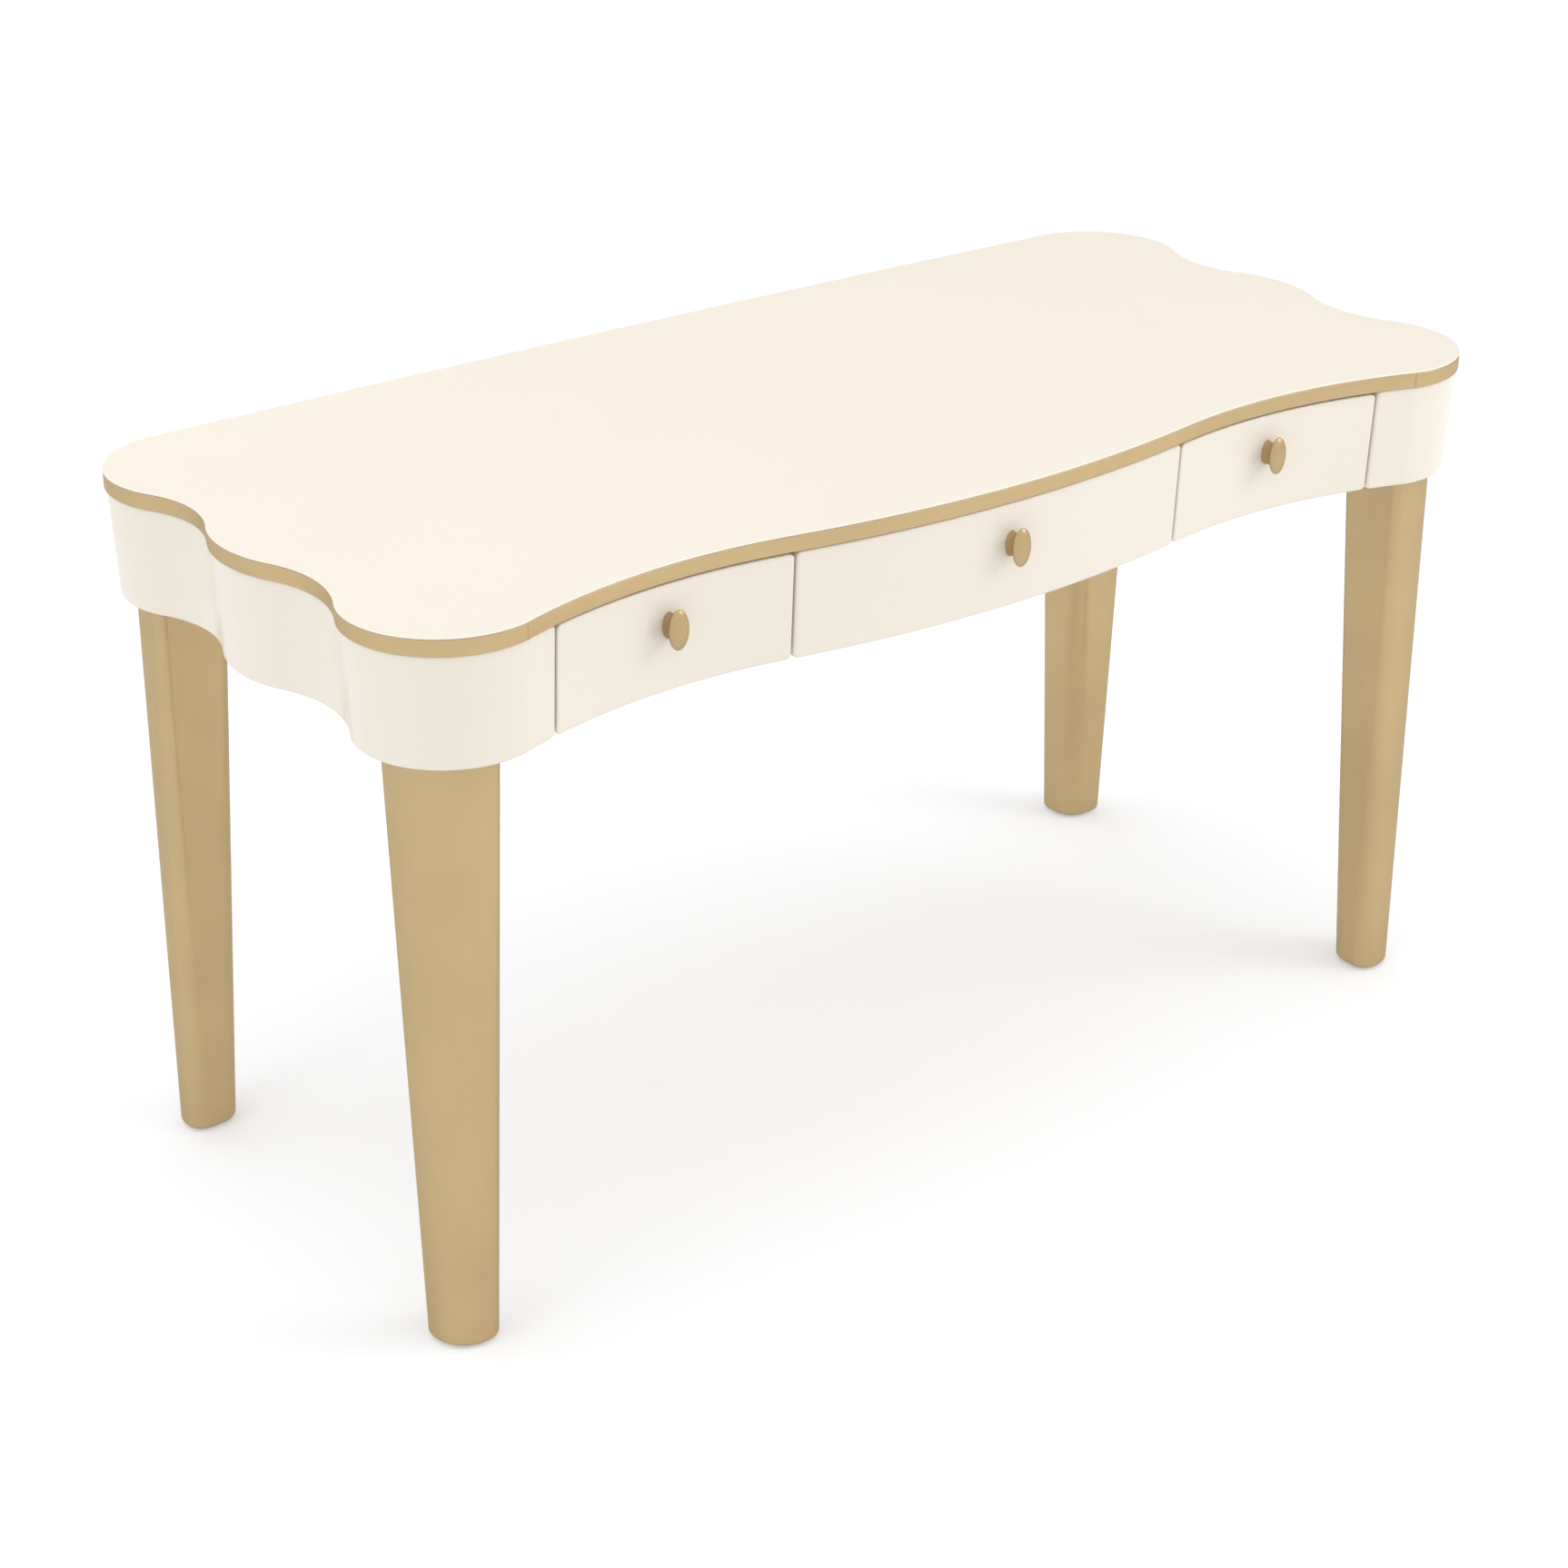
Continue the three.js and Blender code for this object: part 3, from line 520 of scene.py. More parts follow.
def eased(node, prefix, width, material):
    """A CAD node's shape with its sharp edges eased."""
    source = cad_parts[node].data
    mesh = bpy.data.meshes.new(f"{prefix}_{node}")
    bm = bmesh.new()
    bm.from_mesh(source)
    bmesh.ops.remove_doubles(bm, verts=bm.verts, dist=MERGE_DISTANCE)
    bmesh.ops.dissolve_limit(bm, angle_limit=FLAT_ANGLE, verts=bm.verts, edges=bm.edges)
    sharp = [e for e in bm.edges if len(e.link_faces) == 2 and e.calc_face_angle(0) > SHARP_ANGLE]
    bmesh.ops.bevel(
        bm, geom=sharp, offset=width, segments=2, profile=0.5, affect="EDGES", clamp_overlap=True
    )
    bm.to_mesh(mesh)
    bm.free()
    return finish_piece(f"{prefix}_{node}", mesh, material)


# ---------- Finishes ----------
class Nodes:
    """Adds and links the nodes of one tree."""

    def add(self, kind, values=None, **links):
        """A node with its options and sockets set by name, and its inputs linked."""
        node = self.tree.nodes.new(kind)
        for key, value in (values or {}).items():
            if hasattr(node, key):
                setattr(node, key, value)
            else:
                node.inputs[key].default_value = value
        for key, source in links.items():
            self.link(source, node.inputs[key.replace("_", " ")])
        return node

    def link(self, source, target):
        self.tree.links.new(source, target)


class Finish(Nodes):
    """A node material on object coordinates."""

    def __init__(self, name, roughness, metallic=0.0, **sockets):
        self.material = bpy.data.materials.new(name)
        self.material.use_nodes = True
        self.tree = self.material.node_tree
        self.shader = self.tree.nodes["Principled BSDF"]
        for key, value in {"Roughness": roughness, "Metallic": metallic, **sockets}.items():
            self.shader.inputs[key.replace("_", " ")].default_value = value
        self.place = self.add("ShaderNodeTexCoord").outputs["Object"]

    def stretched(self, scale):
        return self.add("ShaderNodeMapping", {"Scale": scale}, Vector=self.place).outputs["Vector"]

    def grained(self, direction, along):
        """The place, drawn out along one axis."""
        scale = [1.0] * 3
        scale["XYZ".index(direction)] = along
        return self.stretched(scale)

    def noise(self, vector, scale, detail=3.0, roughness=0.5, distortion=0.0):
        values = {"Scale": scale, "Detail": detail, "Roughness": roughness}
        values["Distortion"] = distortion
        return self.add("ShaderNodeTexNoise", values, Vector=vector).outputs["Fac"]

    def rings(self, vector, scale, distortion, detail):
        values = {"wave_type": "BANDS", "bands_direction": "X", "Scale": scale}
        values.update({"Distortion": distortion, "Detail": detail, "Detail Scale": 1.2})
        return self.add("ShaderNodeTexWave", values, Vector=vector).outputs["Fac"]

    def ramp(self, value, *stops):
        ramp = self.add("ShaderNodeValToRGB", Fac=value)
        elements = ramp.color_ramp.elements
        while len(elements) < len(stops):
            elements.new(0.5)
        for element, (position, tone) in zip(elements, stops):
            element.position = position
            element.color = (*tone, 1.0)
        return ramp.outputs["Color"]

    def multiplied(self, first, second, amount):
        mix = self.add("ShaderNodeMix", {"data_type": "RGBA", "blend_type": "MULTIPLY"})
        mix.inputs["Factor"].default_value = amount
        self.link(first, mix.inputs[6])
        self.link(second, mix.inputs[7])
        return mix.outputs[2]

    def scaled(self, value, low, high):
        values = {"To Min": low, "To Max": high}
        return self.add("ShaderNodeMapRange", values, Value=value).outputs["Result"]

    def bump(self, height, strength, distance, **below):
        values = {"Strength": strength, "Distance": distance}
        return self.add("ShaderNodeBump", values, Height=height, **below).outputs["Normal"]

    def wear(self, **outputs):
        for socket, source in outputs.items():
            self.link(source, self.shader.inputs[socket.replace("_", " ")])


WHITE = (1.0, 1.0, 1.0)


def shade(tone, amount):
    return tuple(min(1.0, c * amount) for c in tone)


def ivory_lacquer():
    """Sprayed satin lacquer: even, with a faint orange peel and slow drifts in tone."""
    s = bpy.context.scene.vanity_finish
    f = Finish("ivory satin lacquer", s.lacquer_roughness,
               Specular_IOR_Level=0.42, Coat_Weight=0.18, Coat_Roughness=0.22)
    cloud = f.noise(f.place, 4.0, detail=4)
    speck = f.noise(f.place, 220.0, detail=2)
    tone = f.ramp(cloud, (0.3, shade(s.ivory, 0.992)), (0.7, shade(s.ivory, 1.006)))
    fleck = f.ramp(speck, (0.35, (0.993, 0.992, 0.99)), (0.6, WHITE))
    peel = f.noise(f.place, 620.0, detail=2, roughness=0.4)
    flow = f.noise(f.place, 38.0, detail=2)
    f.wear(
        Base_Color=f.multiplied(tone, fleck, 1.0),
        Roughness=f.scaled(flow, s.lacquer_roughness - 0.03, s.lacquer_roughness + 0.04),
        Normal=f.bump(peel, 0.04, 0.0002, Normal=f.bump(flow, 0.02, 0.0004)),
    )
    return f.material


def gilt(name, setting, amount, direction):
    """Champagne gold lacquer over wood: burnished along one direction, with fine flake."""
    s = bpy.context.scene.vanity_finish
    tone = shade(getattr(s, setting), amount)
    f = Finish(name, s.gilt_roughness, metallic=0.82,
               Specular_Tint=(*s.gilt_edge, 1.0), Coat_Weight=0.03, Coat_Roughness=0.3)
    strokes = f.noise(f.grained(direction, 0.035), 520.0, detail=4, roughness=0.6)
    cloud = f.noise(f.place, 9.0, detail=3)
    flake = f.noise(f.place, 1500.0, detail=1)
    base = f.ramp(cloud, (0.3, shade(tone, 0.955)), (0.72, shade(tone, 1.035)))
    burnish = f.ramp(strokes, (0.3, (0.975, 0.972, 0.965)), (0.7, WHITE))
    spark = f.ramp(flake, (0.32, (0.955, 0.95, 0.94)), (0.58, WHITE))
    stroked = f.multiplied(base, burnish, 1.0)
    f.wear(
        Base_Color=f.multiplied(stroked, spark, 0.7),
        Roughness=f.scaled(strokes, s.gilt_roughness - 0.04, s.gilt_roughness + 0.05),
        Normal=f.bump(strokes, 0.05, 0.00012, Normal=f.bump(flake, 0.04, 0.0001)),
    )
    return f.material


def wood(name, setting, direction, gloss, ring_scale):
    """Plain wood with growth rings, fine pores and its grain along one direction."""
    tone = getattr(bpy.context.scene.vanity_finish, setting)
    f = Finish(name, gloss)
    grain = f.grained(direction, 0.055)
    warp = f.noise(grain, 14.0, detail=5, roughness=0.6, distortion=0.4)
    rings = f.rings(grain, ring_scale, 5.5, 3.0)
    pores = f.noise(grain, 900.0, detail=2, roughness=0.7)
    base = f.ramp(warp, (0.25, shade(tone, 0.86)), (0.5, tone), (0.78, shade(tone, 1.10)))
    bands = f.ramp(rings, (0.0, (0.93, 0.91, 0.87)), (0.45, WHITE), (1.0, (0.97, 0.96, 0.94)))
    dots = f.ramp(pores, (0.30, (0.80, 0.75, 0.68)), (0.42, WHITE))
    ringed = f.multiplied(base, bands, 0.8)
    f.wear(
        Base_Color=f.multiplied(ringed, dots, 0.8),
        Roughness=f.scaled(pores, gloss + 0.08, gloss - 0.06),
        Normal=f.bump(pores, 0.22, 0.0003, Normal=f.bump(rings, 0.10, 0.0004)),
    )
    return f.material


def zinc_plate():
    """Zinc plated steel: drawn along the slide, with clouded plating."""
    s = bpy.context.scene.vanity_finish
    f = Finish("zinc plated steel", 0.32, metallic=1.0)
    drawn = f.noise(f.stretched((1.0, 0.02, 1.0)), 900.0, detail=3)
    spangle = f.noise(f.place, 130.0, detail=3, distortion=0.8)
    f.wear(
        Base_Color=f.ramp(spangle, (0.3, shade(s.zinc, 0.84)), (0.7, shade(s.zinc, 1.08))),
        Roughness=f.scaled(drawn, 0.26, 0.42),
        Normal=f.bump(drawn, 0.10, 0.0001),
    )
    return f.material


def polished_steel():
    """Bright bearing balls with a faint haze."""
    s = bpy.context.scene.vanity_finish
    f = Finish("polished ball steel", 0.12, metallic=1.0)
    haze = f.noise(f.place, 700.0, detail=2)
    f.wear(
        Base_Color=f.ramp(haze, (0.3, shade(s.zinc, 1.05)), (0.7, shade(s.zinc, 1.25))),
        Roughness=f.scaled(haze, 0.08, 0.2),
    )
    return f.material


def moulded_nylon():
    """Dull nylon, scuffed by the floor."""
    s = bpy.context.scene.vanity_finish
    f = Finish("moulded nylon", 0.55, Subsurface_Weight=0.05)
    grain = f.noise(f.place, 900.0, detail=3)
    scuff = f.noise(f.place, 90.0, detail=4)
    f.wear(
        Base_Color=f.ramp(scuff, (0.3, shade(s.nylon, 0.9)), (0.6, s.nylon)),
        Roughness=f.scaled(scuff, 0.48, 0.66),
        Normal=f.bump(grain, 0.2, 0.0001),
    )
    return f.material


def floor_paint():
    """Matt pale paint that gives a little light of its own."""
    s = bpy.context.scene.vanity_stage
    f = Finish("pale studio floor", 0.9, Specular_IOR_Level=0.1,
               Emission_Color=(*WHITE, 1.0), Emission_Strength=s.floor_glow)
    drift = f.noise(f.place, 0.8, detail=2)
    f.wear(Base_Color=f.ramp(drift, (0.3, shade(s.floor_colour, 0.995)), (0.7, s.floor_colour)))
    return f.material


DRAWER_WOOD = (0.42, 7.0)  # roughness, and how close the growth rings are
FRAME_WOOD = (0.66, 11.0)
MAKERS = {  # a finish's maker and what it is told
    "ivory": (ivory_lacquer,),
    "gilt_upright": (gilt, "champagne gold, upright", "gilt", 1.0, "Z"),
    "gilt_band": (gilt, "champagne gold, band", "gilt", 1.06, "X"),
    "knob_gold": (gilt, "champagne gold, knobs", "knob_gold", 1.0, "Z"),
    "drawer_x": (wood, "birch along X", "drawer_wood", "X", *DRAWER_WOOD),
    "drawer_y": (wood, "birch along Y", "drawer_wood", "Y", *DRAWER_WOOD),
    "frame_x": (wood, "bare wood along X", "frame_wood", "X", *FRAME_WOOD),
    "frame_y": (wood, "bare wood along Y", "frame_wood", "Y", *FRAME_WOOD),
    "frame_z": (wood, "bare wood upright", "frame_wood", "Z", *FRAME_WOOD),
    "zinc": (zinc_plate,),
    "balls": (polished_steel,),
    "nylon": (moulded_nylon,),
    "floor": (floor_paint,),
}
made_finishes = {}


def finish(key):
    """The finish by its short name, made once."""
    if key not in made_finishes:
        maker, *told = MAKERS[key]
        made_finishes[key] = maker(*told)
    return made_finishes[key]


# ---------- Geometry Nodes ----------
class NodeTree(Nodes):
    """A Geometry Nodes tree with named inputs and one geometry output."""

    def __init__(self, name, **inputs):
        self.tree = bpy.data.node_groups.new(name, "GeometryNodeTree")
        self.tree.is_modifier = True
        face = self.tree.interface
        face.new_socket("Geometry", in_out="OUTPUT", socket_type="NodeSocketGeometry")
        face.new_socket("Places", in_out="INPUT", socket_type="NodeSocketGeometry")
        for label, kind in inputs.items():
            face.new_socket(label, in_out="INPUT", socket_type=f"NodeSocket{kind}")
        self.source = self.add("NodeGroupInput").outputs
        self.result = self.add("NodeGroupOutput").inputs["Geometry"]

    def times(self, value, amount):
        node = self.add("ShaderNodeMath", {"operation": "MULTIPLY"})
        self.link(value, node.inputs[0])
        node.inputs[1].default_value = amount
        return node.outputs[0]

    def vector(self, x=None, y=None, z=None):
        node = self.add("ShaderNodeCombineXYZ")
        for value, socket in zip((x, y, z), node.inputs):
            if value is not None:
                self.link(value, socket)
        return node.outputs[0]

    def joined(self, *geometries):
        node = self.add("GeometryNodeJoinGeometry")
        for geometry in geometries:
            self.link(geometry, node.inputs["Geometry"])
        return node.outputs["Geometry"]

    def cut_by(self, body, *cutters):
        node = self.add("GeometryNodeMeshBoolean", {"operation": "DIFFERENCE", "solver": "EXACT"})
        self.link(body, node.inputs["Mesh 1"])
        for cutter in cutters:
            self.link(cutter, node.inputs["Mesh 2"])
        return node.outputs["Mesh"]

    def lifted(self, geometry, lift):
        up = self.vector(z=lift)
        node = self.add("GeometryNodeTransform", Geometry=geometry, Translation=up)
        return node.outputs["Geometry"]

    def cross(self, reach, width, lift):
        """Two crossed bars, for a driver's recess."""
        bars = []
        for size in ((reach, width, reach), (width, reach, reach)):
            cube = self.add("GeometryNodeMeshCube", Size=self.vector(*size)).outputs["Mesh"]
            bars.append(self.lifted(cube, lift))
        return bars

    def set_out(self, shape, turn_seed):
        """The shape on each place, turned to its axis and by a chance amount about it."""
        named = {"data_type": "FLOAT_VECTOR", "Name": "axis"}
        axis = self.add("GeometryNodeInputNamedAttribute", named)
        aligned = self.add("FunctionNodeAlignRotationToVector", {"axis": "Z"},
                           Vector=axis.outputs["Attribute"])
        instances = self.add("GeometryNodeInstanceOnPoints", Points=self.source["Places"],
                             Instance=shape, Rotation=aligned.outputs["Rotation"])
        chance = self.add("FunctionNodeRandomValue", {"data_type": "FLOAT"}, Seed=turn_seed)
        chance.inputs[2].default_value = 0.0
        chance.inputs[3].default_value = 2 * math.pi
        turned_about = self.add("GeometryNodeRotateInstances", {"Local Space": True},
                                Instances=instances.outputs["Instances"],
                                Rotation=self.vector(z=chance.outputs[1]))
        return turned_about.outputs["Instances"]

    def close(self, geometry):
        realized = self.add("GeometryNodeRealizeInstances", Geometry=geometry)
        painted = self.add("GeometryNodeSetMaterial", Geometry=realized.outputs["Geometry"],
                           Material=self.source["Material"])
        self.link(painted.outputs["Geometry"], self.result)
        return self.tree


def screw_tree():
    """Pan head screws with a cross recess."""
    t = NodeTree("pan head screws", Radius="Float", Dome="Float", Seed="Int", Material="Material")
    ball = t.add("GeometryNodeMeshUVSphere", {"Segments": 20, "Rings": 10, "Radius": 1.0})
    radius, dome = t.source["Radius"], t.source["Dome"]
    head = t.add("GeometryNodeTransform", Geometry=ball.outputs["Mesh"],
                 Scale=t.vector(radius, radius, dome)).outputs["Geometry"]
    bars = t.cross(t.times(radius, 1.1), t.times(radius, 0.26), t.times(radius, 0.72))
    return t.close(t.set_out(t.cut_by(head, *bars), t.source["Seed"]))


def cam_tree():
    """Cam locks: a flat disc with a cross recess and a rim."""
    t = NodeTree("cam locks", Radius="Float", Proud="Float", Seed="Int", Material="Material")
    radius, proud = t.source["Radius"], t.source["Proud"]
    disc = t.add("GeometryNodeMeshCylinder", {"Vertices": 32}, Radius=radius,
                 Depth=t.times(proud, 2)).outputs["Mesh"]
    ring = t.add("GeometryNodeMeshCylinder", {"Vertices": 32}, Radius=t.times(radius, 0.82),
                 Depth=t.times(proud, 1.2)).outputs["Mesh"]
    sunk = t.lifted(ring, t.times(proud, 1.2))
    bars = t.cross(t.times(radius, 1.0), t.times(radius, 0.2), t.times(radius, 0.5))
    return t.close(t.set_out(t.cut_by(disc, sunk, *bars), t.source["Seed"]))


def ball_tree():
    """Balls along each race, and the strip of steel that holds them apart."""
    t = NodeTree("slide balls", Radius="Float", Spacing="Float", Material="Material")
    races = t.add("GeometryNodeMeshToCurve", Mesh=t.source["Places"]).outputs["Curve"]
    spaced = t.add("GeometryNodeResampleCurve", {"mode": "LENGTH"}, Curve=races,
                   Length=t.source["Spacing"]).outputs["Curve"]
    ball = t.add("GeometryNodeMeshIcoSphere", {"Subdivisions": 2}, Radius=t.source["Radius"])
    balls = t.add("GeometryNodeInstanceOnPoints", Points=spaced,
                  Instance=ball.outputs["Mesh"]).outputs["Instances"]
    flat = t.add("GeometryNodeCurvePrimitiveQuadrilateral",
                 Width=t.times(t.source["Radius"], 0.25),
                 Height=t.times(t.source["Radius"], 1.5)).outputs["Curve"]
    strip = t.add("GeometryNodeCurveToMesh", {"Fill Caps": True}, Curve=races,
                  Profile_Curve=flat).outputs["Mesh"]
    return t.close(t.joined(balls, strip))


def grow(name, tree, vertices, edges, axes, inputs, body, slot):
    """Runs a tree on places and keeps the result as a plain mesh on one body."""
    mesh = bpy.data.meshes.new(name)
    mesh.from_pydata(vertices, edges, [])
    if axes:
        attribute = mesh.attributes.new("axis", "FLOAT_VECTOR", "POINT")
        attribute.data.foreach_set("vector", [c for axis in axes for c in axis])
    piece = bpy.data.objects.new(name, mesh)
    bpy.context.scene.collection.objects.link(piece)
    modifier = piece.modifiers.new("pieces", "NODES")
    modifier.node_group = tree
    for item in tree.interface.items_tree:
        if item.item_type == "SOCKET" and item.in_out == "INPUT" and item.name in inputs:
            modifier[item.identifier] = inputs[item.name]
    depsgraph = bpy.context.evaluated_depsgraph_get()
    result = bpy.data.meshes.new_from_object(piece.evaluated_get(depsgraph))
    piece.modifiers.remove(modifier)
    piece.data = result
    if not result.polygons:
        raise RuntimeError(f"{name} came out empty")
    result.polygons.foreach_set("use_smooth", [True] * len(result.polygons))
    result.set_sharp_from_angle(angle=SHARP_ANGLE)
    attach(piece, body, slot)


# ---------- Pieces ----------
def build_top():
    outline = Outline()
    s = bpy.context.scene.vanity_walls
    low, high = box("top_panel")
    core = s.band_thickness + FIT_GAP
    lip_z = box("front_edge_trim")[1].z + FIT_GAP
    round_lip = [
        (outline.whole(s.lip_radius * (1 - math.cos(a))), high.z - s.lip_radius * (1 - math.sin(a)))
        for a in spread(0, QUARTER, EDGE_STEPS)
    ]
    piece = loft("scalloped_top", [
        (outline.whole(core), low.z),
        (outline.whole(core), lip_z),
        (outline.whole(LIP_SETBACK), lip_z),
        *round_lip,
        (outline.whole(s.lip_radius + SUPPORT), high.z),
    ], finish("ivory"))
    attach(piece, FRAME_BODY, "ivory_lacquer", "top_panel")


def build_band():
    outline = Outline()
    s = bpy.context.scene.vanity_walls
    low, high = box("front_edge_trim")
    r = s.band_edge
    profile = [
        (s.band_thickness, low.z),
        *((r * (1 - math.sin(a)), low.z + r * (1 - math.cos(a))) for a in spread(0, QUARTER, 3)),
        *((r * (1 - math.cos(a)), high.z - r * (1 - math.sin(a))) for a in spread(0, QUARTER, 3)),
        (s.band_thickness, high.z),
    ]
    front_x = high.x
    back_x = box("back_edge_trim")[1].x
    front_xs = spread(-front_x, front_x, outline.FRONT_STEPS)
    back_xs = spread(back_x, -back_x, outline.BACK_STEPS)
    paths = {
        "front": lambda t: [outline.front(x, t) for x in front_xs],
        "back": lambda t: [outline.back(x, t) for x in back_xs],
        "right": outline.right_end,
        "left": lambda t: mirrored(outline.right_end(t)),
    }
    for side, path in paths.items():
        piece = sweep(f"{side}_gilt_band", path, profile, finish("gilt_band"))
        attach(piece, FRAME_BODY, "gilt_wood", f"{side}_edge_trim")


def straight(edge, start, end, steps):
    """The walk along an edge from one x to another."""
    turn = math.copysign(1, end - start)
    corner = turn * bpy.context.scene.vanity_walls.corner_radius
    return Walk(
        lambda e, t: edge(start + turn * e, t),
        lambda t: between(edge, t, start + corner, end - corner, steps),
        lambda e, t: edge(end - turn * e, t),
    )


def flip(walk):
    """The same walk on the left."""

    def across(point):
        return -point[0], point[1]

    return Walk(
        lambda e, t: across(walk.start(e, t)),
        lambda t: [across(p) for p in walk.between(t)],
        lambda e, t: across(walk.end(e, t)),
    )


def build_aprons():
    outline = Outline()
    corner = bpy.context.scene.vanity_walls.corner_radius
    low, high = box("right_apron")
    half = box("back_apron")[1].x
    back_x = half + FIT_GAP

    def round_the_end(t):
        end = outline.right_end(t)
        front = between(outline.front, t, low.x + corner, end[0][0], 12)
        back = between(outline.back, t, outline.corner_x, back_x + corner, 8)
        return [*front, *end, *back]

    right = Walk(
        lambda e, t: outline.front(low.x + e, t),
        round_the_end,
        lambda e, t: outline.back(back_x + e, t),
    )
    rear = straight(outline.back, half, -half, outline.BACK_STEPS)
    for name, walk, node in (
        ("right_curved_apron", right, "right_apron"),
        ("left_curved_apron", flip(right), "left_apron"),
        ("bowed_back_apron", rear, "back_apron"),
    ):
        piece = rounded_wall(name, walk, low.z, high.z, finish("ivory"))
        attach(piece, FRAME_BODY, "ivory_lacquer", node)


def leg_section(side, outer, inner, sideways):
    """The section behind its outer faces, with flats kept flat by extra points."""
    near, far = -sideways, -side + sideways
    arcs = [
        arc(-outer, -outer, outer, 0, QUARTER, 36),
        arc(far, near, sideways, QUARTER, 2 * QUARTER, 20),
        arc(inner - side, inner - side, inner, 2 * QUARTER, 3 * QUARTER, 20),
        arc(near, far, sideways, 3 * QUARTER, 4 * QUARTER, 20),
    ]
    ring = []
    for this, following in zip(arcs, arcs[1:] + arcs[:1]):
        a, b = Vector(this[-1]), Vector(following[0])
        step = (b - a).normalized() * min(SUPPORT, (b - a).length / 3)
        ring += [*this, tuple(a + step), tuple(b - step)]
    return ring


def tapered_section(share, shrink):
    """The section at a share of the leg's height, shrunk all round."""
    s = bpy.context.scene.vanity_legs

    def part_way(foot, top):
        return foot + (top - foot) * share

    return leg_section(
        part_way(s.foot_side, s.top_side) - 2 * shrink,
        part_way(s.foot_outer, s.top_outer) - shrink,
        part_way(s.foot_inner, s.top_inner) - shrink,
        part_way(s.foot_sideways, s.top_sideways) - shrink,
    )


def build_leg(side, row):
    """One leg, the post that it ends in inside the apron, and its glide."""
    s = bpy.context.scene.vanity_legs
    node = f"{side}_{row}_leg"
    low, high = box(node)
    shoulder_z = box("right_apron")[0].z - s.shoulder_gap
    rounding = s.foot_rounding
    across = 1 if side == "right" else -1
    along = 1 if row == "back" else -1
    outer_x = high.x if side == "right" else -low.x
    outer_y = high.y if row == "back" else -low.y

    def placed(section, lean_in):
        return [
            (across * (x + outer_x + lean_in), along * (y + outer_y + lean_in))
            for x, y in section
        ]

    def level(z, shrink):
        share = (z - low.z) / (shoulder_z - low.z)
        return placed(tapered_section(share, shrink), (share - 1) * s.taper - shrink), z

    foot = [
        level(low.z + rounding * (1 - math.sin(a)), rounding * (1 - math.cos(a)))
        for a in spread(QUARTER, 0, 8)
    ]
    lengthwise = [level(z, 0) for z in spread(low.z + rounding, shoulder_z, 8)][1:]
    piece = loft(f"{side}_{row}_tapered_leg", [*foot, *lengthwise], finish("gilt_upright"))
    attach(piece, FRAME_BODY, "gilt_wood", node)

    post = placed(leg_section(s.top_side, post_corner(), s.top_inner, s.top_sideways), 0)
    heights = (shoulder_z - POST_OVERLAP, high.z)
    tenon = loft(f"{side}_{row}_leg_post", [(post, z) for z in heights], finish("gilt_upright"))
    attach(tenon, FRAME_BODY, "gilt_wood")

    glide = f"{side}_{row}_glide"
    attach(eased(glide, "moulded", 0.0006, finish("nylon")), FRAME_BODY, "nylon", glide)


def build_legs():
    for side in SIDES:
        for row in ROWS:
            build_leg(side, row)


def post_corner():
    """The radius of the post's outer corner, which follows the apron's inner wall."""
    outline = bpy.context.scene.vanity_outline
    outer = box("right_back_leg")[1].x
    return outer - (box("top_panel")[1].x - outline.corner_radius)


FRAME_PIECES = {
    "front_rail": "frame_x",
    "back_rail": "frame_x",
    "right_divider": "frame_y",
    "left_divider": "frame_y",
    "right_inner_side": "frame_y",
    "left_inner_side": "frame_y",
    **{f"{side}_{row}_corner_block": "frame_z" for side in SIDES for row in ROWS},
}


def build_frame():
    for node, key in FRAME_PIECES.items():
        piece = eased(node, "planed", 0.0010, finish(key))
        attach(piece, FRAME_BODY, "frame_wood", node)


DRAWER_BOARDS = {
    "left_side": "drawer_y", "right_side": "drawer_y", "bottom": "drawer_y", "back": "drawer_x",
}


def build_drawers():
    outline = Outline()
    for name in DRAWERS:
        body = f"{name}_drawer"
        low, high = box(f"{name}_drawer_front")
        walk = straight(outline.front, low.x, high.x, 64)
        piece = rounded_wall(f"{name}_curved_front", walk, low.z, high.z, finish("ivory"))
        attach(piece, body, "ivory_lacquer", f"{name}_drawer_front")
        for part, key in DRAWER_BOARDS.items():
            node = f"{name}_drawer_{part}"
            attach(eased(node, "sanded", 0.0008, finish(key)), body, "drawer_wood", node)


KNOB_EASE = 0.001  # of the flare and the rim's front edge
RIM_EASE = 0.0005  # of the rim's crown


def knob_profile(rim, reach):
    """From the foot inside the drawer front to the middle of the domed face."""
    s = bpy.context.scene.vanity_knobs
    rim_front = reach - s.dome
    rim_back = rim_front - s.edge
    foot = (s.foot_radius, 0)
    neck = (s.neck_radius, s.neck_length)
    flare = (s.neck_radius + KNOB_EASE, rim_back - KNOB_EASE)
    back_edge = (rim - RIM_EASE, rim_back)
    crown = (rim + RIM_EASE, (rim_back + rim_front) / 2)
    front_edge = (rim - KNOB_EASE, rim_front)
    return [
        (0, -s.rooted),
        (s.foot_radius, -s.rooted),
        *bezier(foot, (s.neck_radius, s.neck_length / 4), neck, 6),
        *bezier(neck, flare, back_edge, 10)[1:],
        *bezier(back_edge, crown, front_edge, 6)[1:],
        *bezier(front_edge, (rim * 0.7, reach), (0, reach), 14)[1:],
    ]


